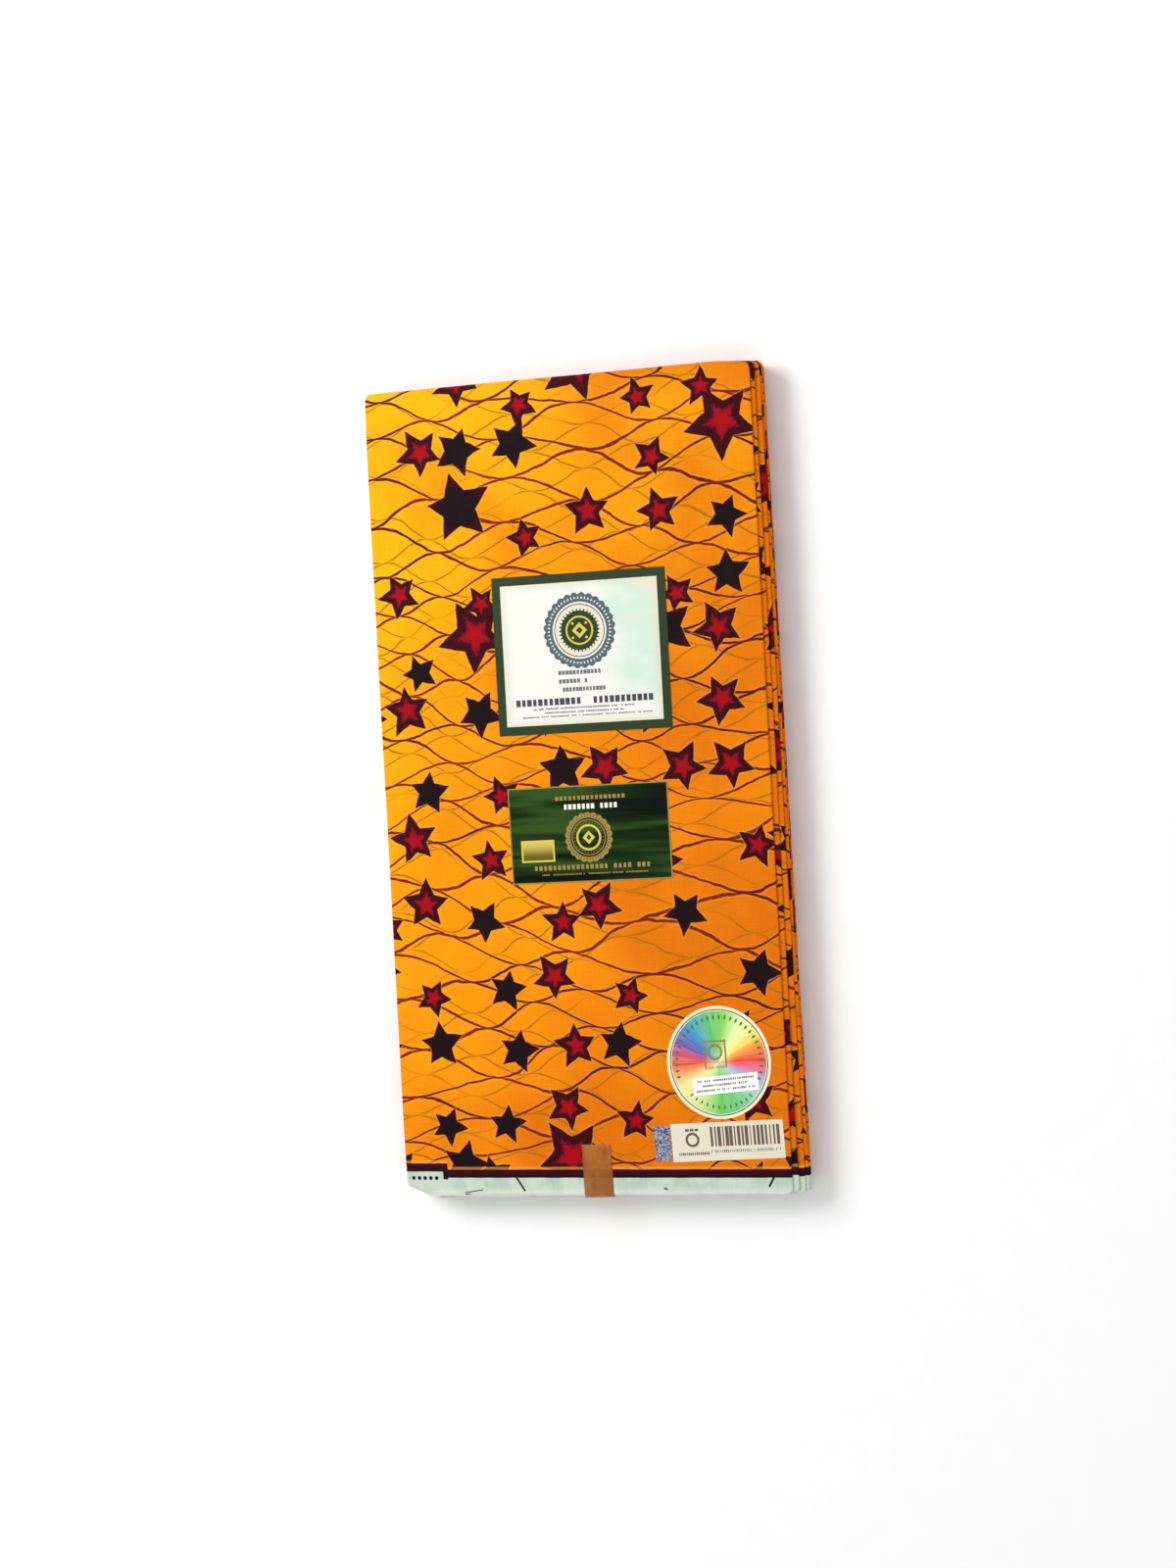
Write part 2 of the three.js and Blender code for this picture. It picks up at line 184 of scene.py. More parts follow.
def lapHeight(lap, x, y, flat=False):
    # the middle of a lap; flat is the turned end, which lies straight under the top lap
    share = (cloth["laps"] - lap) / (cloth["laps"] - 1)
    height = cloth["height"] - pitch * (lap - 0.5) + share * crown(x, y)
    if lap == 1 or flat:
        return height + creased(x, y)
    ends = np.clip((lap - 1) / 3, 0, 1) * np.clip((cloth["laps"] - lap) / 2, 0, 1)
    sway = np.sin(lap * 0.9 + 1.6 * np.sin(x / 74.0) + 1.3 * np.cos(y / 96.0))
    height = height + cloth["looseness"] * ends * sway
    sides = hiddenFrom["sides"]
    inside = smooth(x - left, *sides) * smooth(right - x, *sides)
    inside = inside * smooth(y - near, *hiddenFrom["near"]) * smooth(far - y, *hiddenFrom["far"])
    tuck = pitch * (1 - smooth(x, left + 31, left + 46))
    return height - share * (cloth["sink"] * inside + tuck) + share * creased(x, y) * (1 - inside)


def cornerInset(share, radius):
    part = np.clip(share, 0, 1)
    return radius * corners["fullness"] * (1 - np.sqrt(1 - part * part))


def reachAt(share, key):
    return float(np.interp(share, [row["share"] for row in reachTable], [row[key] for row in reachTable]))


def edgeAt(side, fold, y):
    # where a fold stands: right fold k joins laps 2k-1 and 2k, left fold k joins laps 2k and 2k+1
    along = np.clip((y - near) / (far - near), 0, 1)
    inset = cornerInset((y - far + corners["farRadius"]) / corners["farRadius"], corners["farRadius"])
    share = 1 - (fold - firstInnerFold + 0.5 * (side == "left")) / (lastInnerFold - firstInnerFold)
    if side == "left":
        out = reachAt(np.clip(share, 0, 1), "left") if fold > 2 else firstLefts[fold]
        drift = wander(fold + 40, y, 0.3) + 0.35 * math.sin(fold * 2.1) if fold else wander(40, y, 0.15)
        return left - out + drift + inset
    if fold <= len(fanTable):
        row = fanTable[fold - 1]
        out = row["outNear"] + (row["outFar"] - row["outNear"]) * along
    elif fold * 2 == cloth["laps"]:
        out = lastFan["outNear"] + (lastFan["outFar"] - lastFan["outNear"]) * along
    else:
        out = reachAt(share, "rightNear") * (1 - along) + reachAt(share, "rightFar") * along
    edge = right + out + wander(fold, y, 0.35 if fold > 1 else 0.12)
    return edge + 0.3 * math.sin(fold * 2.7) * (fold > 3) - inset


def nearBase(lap, side, x):
    # the selvedge's straight run, a little different on each layer; side 1 is the upper layer of lap 1
    along = (x - left) / lapWidth
    start, change = selvedgeRuns["top" if side > 0 else "under"]
    top = start + change * along
    back = 1.1 + np.sin(lap * 1.9 + 2.3 * side)
    lower = selvedgeRuns["lower"] + back + (3.0 - 0.2 * back) * along
    share = np.clip(lap - 1, 0, 1)
    return top * (1 - share) + lower * share


def nearEnd(lap, side, x, edge):
    width = corners["slantWidth"] + np.sin(lap * 1.3)
    slant = corners["slantDepth"] * np.clip(1 - (x - left) / width, 0, 1)
    turned = cornerInset((x - edge + corners["nearRadius"]) / corners["nearRadius"], corners["nearRadius"])
    return nearBase(lap, side, x) + slant + turned + wander(3.0, x * 1.7 + lap * 31 + side * 9, 0.3)


def farEnd(lap):
    share = np.clip((cloth["laps"] - lap) / (cloth["laps"] - 7), 0, 1)
    reach = np.interp(share, [row["share"] for row in reachTable], [row["far"] for row in reachTable])
    return far + reach + 0.5 * np.sin(lap * 2.3) * (lap > 1.5)


def farDrop(x):
    # the long fold gives way a little towards the fanned corner
    return corners["farDrop"] * smooth(x, right - corners["dropFrom"], right + 6) + wander(77, x, 0.25)


def run(lap, start, end, steps, flat=False):
    # a flat stretch; start and end are a fold, such as ("left", 2), or the x where the stretch ends
    return {"lap": lap, "start": start, "end": end, "steps": steps, "flat": flat}


def turn(side, fold, lap, fromAngle, toAngle, flat=False):
    # a fold's half round, from the upper lap that is named to the one below it
    return {"side": side, "fold": fold, "lap": lap, "angles": (fromAngle, toAngle), "flat": flat}


def pathRows(x, *others):
    # one row for each point: x, z, the normal's x and z, the lap, and the right-hand edge
    return np.stack([x] + [np.broadcast_to(value, x.shape) for value in others], 1)


def runPoints(step, y):
    ends = []
    for place in (step["start"], step["end"]):
        if isinstance(place, tuple):
            inward = -1 if place[0] == "right" else 1
            ends.append((float(edgeAt(place[0], place[1], y)) + inward * pitch, pitch * inward))
        else:
            ends.append((place, 0.0))
    # the points crowd towards both ends, where the folds bend the cloth
    shares = np.linspace(0, 1, step["steps"] + 1)
    shares = 0.55 * shares + 0.45 * shares * shares * (3 - 2 * shares)
    x = ends[0][0] + (ends[1][0] - ends[0][0]) * shares
    z = lapHeight(step["lap"], x, y, step["flat"])
    facing = 1.0 if ends[1][0] > ends[0][0] else -1.0
    return pathRows(x, z, 0.0, facing, step["lap"], max(ends[0][0], ends[1][0]) + pitch)


noEdge = 1e3  # stands for a right-hand edge where there is none


def turnPoints(step, y, segments=6):
    edge = float(edgeAt(step["side"], step["fold"], y))
    sign = 1 if step["side"] == "right" else -1
    start, end = step["angles"]
    upper = float(lapHeight(step["lap"], edge - sign * pitch, y, step["flat"] and step["lap"] > 1))
    lower = float(lapHeight(step["lap"] + 1, edge - sign * pitch, y, step["flat"]))
    radius = (upper - lower) / 2
    angle = np.radians(np.linspace(start, end, segments + 1)[1:-1])
    facing = angle if end < start else angle + math.pi
    x = edge - sign * radius + radius * np.cos(angle)
    z = (upper + lower) / 2 + radius * np.sin(angle)
    lap = step["lap"] + (0 if step["flat"] else (1 - np.sin(angle)) / 2)
    return pathRows(x, z, np.cos(facing), np.sin(facing), lap, edge if sign > 0 else noEdge)


def clothLine(steps, y):
    # the middle line of the doubled cloth at one y
    parts = [turnPoints(step, y) if "angles" in step else runPoints(step, y) for step in steps]
    return np.concatenate(parts)


roundFold = 1.6  # how much cloth a fold takes up


def pathStart(lap, x):
    # how far along the cloth a place is from its turned end
    across = x - left if lap % 2 else right - x
    return cloth["turnedEnd"] + (lap - 1) * (lapWidth + roundFold) + across


def stations(count):
    # places along y, closer together at both ends
    middle = np.linspace(near, far, count)[1:-1]
    nearEnds = near + np.array([0, 0.6, 1.5, 3.0, 5.0, 8.0])
    farEnds = far - np.array([8.0, 4.0, 2.6, 1.5, 0.7, 0.2, 0.0])
    middle = middle[(middle > near + 10) & (middle < far - 10)]
    return np.concatenate([nearEnds, middle, farEnds])


bendAngles = np.radians([30, 60, 90, 120, 150])  # the steps of the bend round the long fold


def clothGrid(steps, count, start, underDepth=None):
    # the doubled cloth as one sheet: over the upper layer, round the long fold, and back below it,
    # where underDepth says how much of the under layer is made
    ys = stations(count)
    lines = np.stack([clothLine(steps, y) for y in ys])
    x, z, nx, nz, lap, edge = (lines[:, :, k] for k in range(6))
    middleRow = lines[len(ys) // 2]
    lengths = np.hypot(np.diff(middleRow[:, 0]), np.diff(middleRow[:, 1]))
    u = start + np.concatenate([[0], np.cumsum(lengths)])
    gap = layer / 2
    atNear = (1 - smooth(ys, near, near + corners["nearBlend"]))[:, None]
    atFar = smooth(ys, far - corners["farBlend"], far)[:, None]
    farLine = farEnd(lap) - far - gap - farDrop(x)

    def layerRows(side):
        y = ys[:, None] + (nearEnd(lap, side, x, edge) - near) * atNear + farLine * atFar
        points = np.stack([x + side * gap * nx, y, z + side * gap * nz], 2)
        v = y - nearBase(lap, side, x)
        return points, v if side > 0 else cloth["width"] - v

    upper, upperV = layerRows(1)
    lower, lowerV = layerRows(-1)
    rows, vs = [upper], [upperV]
    for angle in bendAngles:
        c, s = math.cos(angle), math.sin(angle)
        y = upper[-1, :, 1] + gap * s
        rows.append(np.stack([x[-1] + gap * nx[-1] * c, y, z[-1] + gap * nz[-1] * c], 1)[None])
        vs.append((upperV[-1] * (1 + c) / 2 + lowerV[-1] * (1 - c) / 2)[None])
    kept = ys[::-1] > (near - 1 if underDepth is None else far - underDepth)
    points = np.concatenate(rows + [lower[::-1][kept]])
    v = np.concatenate(vs + [lowerV[::-1][kept]])
    side = np.where(np.arange(len(points)) < len(ys) + len(bendAngles), 1, -1)
    grid = {"points": points, "u": np.broadcast_to(u, v.shape), "v": v, "side": side, "stations": len(ys)}
    grid["length"] = float(u[-1] - start)
    return grid


def gridFaces(grid, dropped=None):
    rows, columns = grid["v"].shape
    j, i = np.meshgrid(np.arange(rows - 1), np.arange(columns - 1), indexing="ij")
    a = (j * columns + i).ravel()
    faces = np.stack([a, a + 1, a + columns + 1, a + columns], 1)
    if dropped is not None:
        faces = faces[~dropped(grid, j, i).ravel()]
    return faces


def meshPiece(name, points, faces, materials, uv=None, materialIndex=None, sharp=50):
    mesh = bpy.data.meshes.new(name)
    used = np.unique(np.concatenate([np.asarray(face) for face in faces])) if len(faces) else []
    renumber = np.full(len(points), -1)
    renumber[used] = np.arange(len(used))
    points = np.asarray(points)[used]
    faces = [renumber[np.asarray(face)].tolist() for face in faces]
    mesh.from_pydata(points.tolist(), [], faces)
    for material in materials:
        mesh.materials.append(material)
    if uv is not None:
        layerUv = mesh.uv_layers.new(name="clothMap")
        corner = np.empty(len(mesh.loops), int)
        mesh.loops.foreach_get("vertex_index", corner)
        layerUv.data.foreach_set("uv", np.asarray(uv)[used][corner].astype(np.float32).ravel())
    if materialIndex is not None:
        mesh.polygons.foreach_set("material_index", np.asarray(materialIndex, np.int32))
    mesh.shade_smooth()
    mesh.validate()
    mesh.update()
    piece = bpy.data.objects.new(name, mesh)
    bpy.context.scene.collection.objects.link(piece)
    if sharp:
        mesh.set_sharp_from_angle(angle=math.radians(sharp))
    return piece


def applied(piece):
    # turn a piece and its modifiers into one plain mesh
    graph = bpy.context.evaluated_depsgraph_get()
    mesh = bpy.data.meshes.new_from_object(piece.evaluated_get(graph), depsgraph=graph)
    old = piece.data
    piece.modifiers.clear()
    piece.data = mesh
    mesh.name = old.name + "Mesh"
    return piece


def placed(piece, node):
    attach(piece, "root")
    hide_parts(node)


def clothPiece(name, grid, material, dropped=None):
    points = toFrame(grid["points"].reshape(-1, 3))
    uv = np.stack([grid["u"].ravel(), grid["v"].ravel()], 1) * mm
    piece = meshPiece(name, points, gridFaces(grid, dropped), [material], uv, sharp=None)
    wall = piece.modifiers.new("thickness", "SOLIDIFY")
    wall.thickness = cloth["thickness"] * mm
    wall.offset = 0
    applied(piece)
    piece.data.set_sharp_from_angle(angle=math.radians(50))
    return piece


# Shader helpers

def rgb(red, green, blue):
    # a screen colour from 0 to 255, as the shader's linear one
    parts = [c / 255 for c in (red, green, blue)]
    return tuple(c / 12.92 if c <= 0.04045 else ((c + 0.055) / 1.055) ** 2.4 for c in parts) + (1.0,)


def newMaterial(name, roughness=0.5, **sockets):
    material = bpy.data.materials.new(name)
    material.use_nodes = True
    tree = material.node_tree
    tree.nodes.clear()
    output = tree.nodes.new("ShaderNodeOutputMaterial")
    shader = tree.nodes.new("ShaderNodeBsdfPrincipled")
    tree.links.new(shader.outputs["BSDF"], output.inputs["Surface"])
    shader.inputs["Roughness"].default_value = roughness
    for socket, value in sockets.items():  # an underline in a name stands for a space
        shader.inputs[socket.replace("_", " ")].default_value = value
    return material, tree, shader


def feed(socket, value):
    if isinstance(value, bpy.types.NodeSocket):
        socket.id_data.links.new(value, socket)
    else:
        socket.default_value = value


def newNode(kind, *values):
    # a node in the tree of the first socket among the values
    tree = next(value.id_data for value in values if isinstance(value, bpy.types.NodeSocket))
    return tree.nodes.new(kind)


def calc(operation, *values):
    node = newNode("ShaderNodeMath", *values)
    node.operation = operation
    for socket, value in zip(node.inputs, values):
        feed(socket, value)
    return node.outputs[0]


def plus(first, second):
    return calc("ADD", first, second)


def minus(first, second):
    return calc("SUBTRACT", first, second)


def times(first, second):
    return calc("MULTIPLY", first, second)


def vectorCalc(operation, *values, scale=None):
    node = newNode("ShaderNodeVectorMath", *values, scale)
    node.operation = operation
    for socket, value in zip(node.inputs, values):
        feed(socket, value)
    if scale is not None:
        feed(node.inputs["Scale"], scale)
    return node.outputs["Value" if operation in ("LENGTH", "DISTANCE", "DOT_PRODUCT") else "Vector"]


def shifted(vector, x, y):
    # another part of the same noise
    return vectorCalc("ADD", vector, (x, y, 0.0))


def split(vector):
    node = newNode("ShaderNodeSeparateXYZ", vector)
    feed(node.inputs[0], vector)
    return node.outputs[0], node.outputs[1], node.outputs[2]


def join(x, y, z=0.0):
    node = newNode("ShaderNodeCombineXYZ", x, y, z)
    for socket, value in zip(node.inputs, (x, y, z)):
        feed(socket, value)
    return node.outputs[0]


def ramp(value, low, high, toLow=0.0, toHigh=1.0):
    node = newNode("ShaderNodeMapRange", value)
    node.interpolation_type = "SMOOTHSTEP"
    for socket, given in zip(node.inputs, (value, low, high, toLow, toHigh)):
        feed(socket, given)
    return node.outputs[0]


def inked(distance):
    # 1 inside a printed outline and 0 outside it, with a slightly soft edge
    return ramp(distance, -0.25, 0.3, 1.0, 0.0)


def mixed(share, first, second, mode="MIX"):
    node = newNode("ShaderNodeMix", share)
    node.data_type = "RGBA"
    node.blend_type = mode
    for number, value in ((0, share), (6, first), (7, second)):
        feed(node.inputs[number], value)
    return node.outputs[2]


def noise(vector, scale, detail=2.0, roughness=0.5, dimensions="2D"):
    node = newNode("ShaderNodeTexNoise", vector)
    node.noise_dimensions = dimensions
    feed(node.inputs["Vector"], vector)
    for socket, value in (("Scale", scale), ("Detail", detail), ("Roughness", roughness)):
        node.inputs[socket].default_value = value
    return node.outputs["Fac"]


def bump(height, distance, strength=1.0):
    node = newNode("ShaderNodeBump", height)
    node.inputs["Strength"].default_value = strength
    node.inputs["Distance"].default_value = distance
    feed(node.inputs["Height"], height)
    return node.outputs["Normal"]


def objectPoint(tree):
    return tree.nodes.new("ShaderNodeTexCoord").outputs["Object"]


# The print on the cotton: stars over a wavy net, with a plain selvedge. Lengths are millimetres.

printed = {
    "starCell": 49.0,
    "starSpread": 0.6,  # how far a star may stand from the middle of its cell
    "starSize": 14.4,
    "starVary": 6.6,
    "bigStar": 8.0,  # what the few largest have more
    "lean": 0.1,  # how much longer a star's arms are on one side
    "inner": 0.5,  # the notches' radius over the tips'
    "kept": 0.95,  # of all the stars, those that are printed
    "redCore": 0.66,  # of the stars, those with a red core
    "netHeight": 16.5,
    "netLength": 104.0,
    "lineWidth": 1.0,
    "underHeight": 15.0,  # the fainter net below the first
    "underLength": 78.0,
    "selvedge": 12.2,
    "edgeLine": 6.4,  # the dark line's width
    "stepUp": 4.8,  # how far it steps in, and up to where
    "stepEnd": 64.6,
    "dots": (32.0, 58.0),  # where the row of dots in the box starts and ends
    "dotRow": 12.0,
    "dotGap": 2.4,  # half of what lies between two dots
    "threads": (0.55, 0.5),  # from one thread to the next, each way
}
# stray strokes of dye: start, end and width, counted along the cut and in from the selvedge
dyeStrokes = (
    ((120, 12.5), (126, 2.5), 1.5),
    ((78, 1.0), (92, 3.0), 0.8),
    ((322, 13), (318, 6), 1.6),
    ((237, 4.2), (239, 3.8), 1.2),
)
# the third orange is a deeper one, used for deeper patches of dye and for painted shade
golden, orange, deepOrangeAndShade = rgb(254, 180, 0), rgb(246, 142, 0), rgb(222, 112, 0)
maroon, sienna, ochre = rgb(58, 0, 8), rgb(126, 34, 2), rgb(172, 104, 0)
starRed, plum, nearBlack = rgb(166, 0, 12), rgb(98, 2, 36), rgb(24, 6, 12)
halo, mint, navy = rgb(252, 180, 84), rgb(198, 216, 196), rgb(16, 20, 84)


def starShape(point, order):
    # one star in each cell: its distance outside the outline, and its own colour
    cell, halfArm = printed["starCell"], math.pi / 5
    cells = newNode("ShaderNodeTexVoronoi", point)
    cells.voronoi_dimensions = "2D"
    cells.feature = order
    feed(cells.inputs["Vector"], vectorCalc("SCALE", point, scale=1 / cell))
    cells.inputs["Scale"].default_value = 1.0
    cells.inputs["Randomness"].default_value = printed["starSpread"]
    centre = vectorCalc("SCALE", cells.outputs["Position"], scale=cell)
    dx, dy, _ = split(vectorCalc("SUBTRACT", point, centre))
    spin, growth, kind = split(cells.outputs["Color"])
    around = calc("ARCTAN2", dy, dx)
    lean = calc("SINE", plus(around, times(kind, 6.28)))
    reach = vectorCalc("LENGTH", join(dx, dy))
    reach = times(reach, calc("MULTIPLY_ADD", lean, printed["lean"], 1.0))
    spoke = calc("PINGPONG", plus(around, times(spin, 6.283)), halfArm)
    inner = printed["inner"]
    tip, notch = Vector((1, 0)), Vector((inner * math.cos(halfArm), inner * math.sin(halfArm)))
    side = (notch - tip).normalized()
    normal = Vector((side.y, -side.x))
    facing = math.atan2(normal.y, normal.x)
    size = calc("MULTIPLY_ADD", growth, printed["starVary"], printed["starSize"])
    size = plus(size, ramp(growth, 0.84, 0.96, 0.0, printed["bigStar"]))
    level = times(reach, calc("COSINE", minus(spoke, facing)))
    edge = times(size, normal.dot(tip))
    lot = calc("FRACT", calc("MULTIPLY_ADD", growth, 17.0, times(kind, 5.0)))
    missing = times(calc("GREATER_THAN", lot, printed["kept"]), 60.0)
    distance = plus(minus(level, edge), missing)
    fuzz = calc("MULTIPLY_ADD", noise(point, 0.5, 3.0), 0.36, -0.18)
    share = plus(calc("DIVIDE", level, edge), fuzz)
    core = mixed(ramp(share, 0.26, 0.58), starRed, plum)
    red = mixed(ramp(share, 0.45, 0.62), core, maroon)
    tips = ramp(calc("DIVIDE", reach, size), 0.45, 0.85)
    black = mixed(tips, nearBlack, maroon)
    return distance, mixed(calc("GREATER_THAN", kind, printed["redCore"]), red, black)


def netLines(u, v, height, length, phase, seed):
    # two sets of waves that lean on each other, so they meet and part again as long cells do
    wavy = calc("MULTIPLY_ADD", phase, 5.0, times(u, 2 * math.pi / length))
    wavy = plus(wavy, seed)
    distances = []
    for k, sign in enumerate((1, -1)):
        swing = times(calc("SINE", plus(wavy, 0.45 * k)), sign * height * 0.5)
        place = plus(plus(v, swing), k * height)
        distances.append(calc("PINGPONG", place, height))
    # where two lines run into one they are drawn thinner, so that the join stays slim
    joined = ramp(calc("MAXIMUM", *distances), 0.3, 2.8, 0.42, 0.0)
    return plus(calc("MINIMUM", *distances), joined)


def stroke(point, start, end, width):
    # how much of a short pen stroke covers a place
    along = Vector(end) - Vector(start)
    line = (along.x, along.y, 0.0)
    offset = vectorCalc("SUBTRACT", point, (start[0], start[1], 0.0))
    share = calc("DIVIDE", vectorCalc("DOT_PRODUCT", offset, line), along.length_squared)
    share = calc("MINIMUM", calc("MAXIMUM", share, 0.0), 1.0)
    gap = vectorCalc("DISTANCE", offset, vectorCalc("SCALE", line, scale=share))
    return ramp(gap, width / 2 - 0.25, width / 2 + 0.25, 1.0, 0.0)


def groundColour(flat, u, v):
    # golden to orange in slow patches, with deeper ones; painted light makes it more golden towards the
    # cloth's start and the long fold, and painted shade makes it deeper further along the cloth
    broad = noise(flat, 0.0042, 2.0)
    # painted light: a slow lean towards golden at low u and high v
    lean = plus(times(u, -0.0016), times(v, 0.0011))
    toneAndPaintedLight = ramp(plus(times(broad, 0.7), lean), 0.2, 0.78)
    depth = noise(shifted(flat, 70.0, 900.0), 0.008, 2.0)
    # painted shade: deeper orange with rising u, and a little towards the near selvedge
    depth = plus(depth, plus(times(u, 0.0014), times(v, -0.0003)))
    ground = mixed(toneAndPaintedLight, orange, golden)
    return mixed(ramp(depth, 0.44, 0.94, 0.0, 0.9), ground, deepOrangeAndShade)


def netOver(ground, flat, u, v):
    # the dark lines with a pale rim, over fainter ones
    drift = calc("MULTIPLY_ADD", noise(flat, 0.009, 0.0), 28.0, -14.0)
    phase = noise(shifted(flat, 500.0, 20.0), 0.006, 0.0)
    drifted = plus(v, drift)
    underU = calc("MULTIPLY_ADD", drift, 0.8, plus(u, 37.0))
    underV = calc("MULTIPLY_ADD", drift, -0.45, plus(drifted, 7.0))
    faint = netLines(underU, underV, printed["underHeight"], printed["underLength"], phase, 2.2)
    strength = ramp(noise(flat, 0.016, 0.0), 0.3, 0.45, 0.35, 0.95)
    ground = mixed(times(ramp(faint, 0.35, 0.95, 1.0, 0.0), strength), ground, ochre)
    main = netLines(u, drifted, printed["netHeight"], printed["netLength"], phase, 0.0)
    width = calc("MULTIPLY_ADD", noise(flat, 0.03, 1.0), 0.7, printed["lineWidth"] - 0.35)
    distance = minus(main, width)
    ground = mixed(ramp(distance, 0.2, 1.3, 0.2, 0.0), ground, halo)
    depth = ramp(noise(flat, 0.012, 0.0), 0.4, 0.7, 0.0, 0.7)
    return mixed(inked(distance), ground, mixed(depth, sienna, maroon))


def starsOver(ground, point):
    # the nearer of two stars at each place, with a pale rim
    firstDistance, firstColour = starShape(point, "F1")
    secondDistance, secondColour = starShape(point, "F2")
    distance = calc("MINIMUM", firstDistance, secondDistance)
    nearer = calc("LESS_THAN", firstDistance, secondDistance)
    ground = mixed(ramp(distance, 0.3, 1.2, 0.25, 0.0), ground, halo)
    return mixed(inked(distance), ground, mixed(nearer, secondColour, firstColour))


def selvedgeOver(pattern, flat, u, v, wobble):
    # a dark line along the print, stepped round a bare box near the turned end
    fromEdge = calc("MINIMUM", v, minus(cloth["width"], v))
    stepped = calc("LESS_THAN", u, printed["stepEnd"])
    lineStart = calc("MULTIPLY_ADD", stepped, printed["stepUp"], printed["selvedge"])
    above = minus(calc("MULTIPLY_ADD", wobble, 0.2, fromEdge), lineStart)
    line, top = printed["edgeLine"], mixed(ramp(above, 1.0, 3.4), nearBlack, maroon)
    pattern = mixed(ramp(above, line - 0.3, line + 0.4, 1.0, 0.0), pattern, top)
    stripe = calc("ABSOLUTE", minus(above, line + 0.9))
    pattern = mixed(ramp(stripe, 0.4, 1.5, 0.4, 0.0), pattern, halo)
    cloudy = ramp(noise(flat, 0.07, 3.0), 0.38, 0.7, 0.0, 0.6)
    plain = mixed(cloudy, mint, rgb(168, 190, 172))
    plain = mixed(ramp(fromEdge, 0.0, 7.0, 0.5, 0.0), plain, rgb(228, 232, 222))
    pattern = mixed(ramp(above, -0.3, 0.3, 1.0, 0.0), pattern, plain)
    # the short bar that closes the box
    nearStep = calc("ABSOLUTE", minus(u, printed["stepEnd"] - 2.0))
    bar = times(calc("LESS_THAN", nearStep, 2.0), calc("GREATER_THAN", fromEdge, 11.0))
    bar = times(bar, calc("LESS_THAN", above, 0.2))
    pattern = mixed(bar, pattern, nearBlack)
    # plain dots in the box, and a few stray strokes of dye
    start, end = printed["dots"]
    dotU = calc("PINGPONG", minus(u, start - 1.0), printed["dotGap"])
    dotV = minus(fromEdge, printed["dotRow"])
    dot = ramp(vectorCalc("LENGTH", join(dotU, dotV)), 1.3, 1.8, 1.0, 0.0)
    inBox = times(calc("GREATER_THAN", u, start), calc("LESS_THAN", u, end))
    pattern = mixed(times(dot, inBox), pattern, navy)
    place = join(u, fromEdge)
    for start, end, width in dyeStrokes:
        pattern = mixed(stroke(place, start, end, width), pattern, nearBlack)
    return pattern


def weave(flat, u, v):
    # fine threads both ways, and slubs along each of them
    waves = []
    for value, pitch in zip((u, v), printed["threads"]):
        waves.append(calc("SINE", times(value, 2 * math.pi / pitch)))
    slubs = [
        noise(vectorCalc("MULTIPLY", flat, stretch), 1.0, 2.0)
        for stretch in ((0.05, 1.3, 0.0), (1.3, 0.05, 0.0))
    ]
    return times(*waves), times(plus(*slubs), 0.5)


def printedCotton():
    sockets = {"Specular_IOR_Level": 0.08, "Sheen_Weight": 0.02, "Sheen_Roughness": 0.45}
    material, tree, shader = newMaterial("printedCotton", 0.62, **sockets)
    uvMap = tree.nodes.new("ShaderNodeUVMap")
    uvMap.uv_map = "clothMap"
    flat = vectorCalc("SCALE", uvMap.outputs[0], scale=1000.0)
    u, v, _ = split(flat)
    # hand-cut edges: everything printed wanders a little
    wobbleU = calc("MULTIPLY_ADD", noise(flat, 0.07, 2.0), 2.4, -1.2)
    wobbleV = noise(shifted(flat, 310.0, 90.0), 0.07, 2.0)
    wobbleV = calc("MULTIPLY_ADD", wobbleV, 2.4, -1.2)
    wanderU, wanderV = plus(u, wobbleU), plus(v, wobbleV)
    pattern = netOver(groundColour(flat, u, v), flat, wanderU, wanderV)
    pattern = starsOver(pattern, join(wanderU, wanderV))
    pattern = selvedgeOver(pattern, flat, u, v, wobbleU)
    # the cotton itself takes the dye unevenly
    threads, slubs = weave(flat, u, v)
    pattern = mixed(ramp(slubs, 0.3, 0.7, 0.0, 0.1), pattern, rgb(90, 40, 0), "MULTIPLY")
    feed(shader.inputs["Base Color"], pattern)
    feed(shader.inputs["Roughness"], ramp(slubs, 0.3, 0.7, 0.56, 0.7))
    relief = plus(times(threads, 0.3), times(slubs, 1.2))
    feed(shader.inputs["Normal"], bump(relief, 0.00006, 0.6))
    return material


# The folded stretches, one for each node of the frame

cotton = printedCotton()
seamX = -48.0  # where one node's stretch ends below another lap and the next begins
seamLap = 0.3  # how far the two run together there
frontTurn = turn("left", 0, 1, 270, 90, flat=True)
topReturn = 10.0  # how far the top face carries on out of sight


def rightTurn(fold):
    return turn("right", fold, 2 * fold - 1, 90, -90)


def leftTurn(fold):
    return turn("left", fold, 2 * fold, 90, 270)


def laps(first, last, steps):
    # whole laps from one odd lap to an even one, with the folds between them
    stretch = []
    for lap in range(first, last + 1):
        fold = (lap + 1) // 2
        if lap % 2:
            stretch += [run(lap, ("left", fold - 1), ("right", fold), steps), rightTurn(fold)]
        else:
            stretch += [run(lap, ("right", fold), ("left", fold), steps)]
            if lap < last:
                stretch.append(leftTurn(fold))
    return stretch


topSteps = [
    run(2, left + 4.0, ("left", 0), 2, flat=True),
    frontTurn,
    run(1, ("left", 0), ("right", 1), 104),
    rightTurn(1),
    run(2, ("right", 1), right - topReturn, 3),
]
underSteps = [
    run(2, left + cloth["turnedEnd"], ("left", 0), 10, flat=True),
    frontTurn,
    run(1, ("left", 0), ("right", 1), 46),
    rightTurn(1),
    run(2, ("right", 1), seamX, 24),
]


def foldedLap(fold):
    # from the seam under one lap round the fold at the left, over the next lap and round its fold
    lap = 2 * fold
    return [
        run(lap, seamX - seamLap, ("left", fold), 14),
        leftTurn(fold),
        run(lap + 1, ("left", fold), ("right", fold + 1), 40),
        rightTurn(fold + 1),
    ]


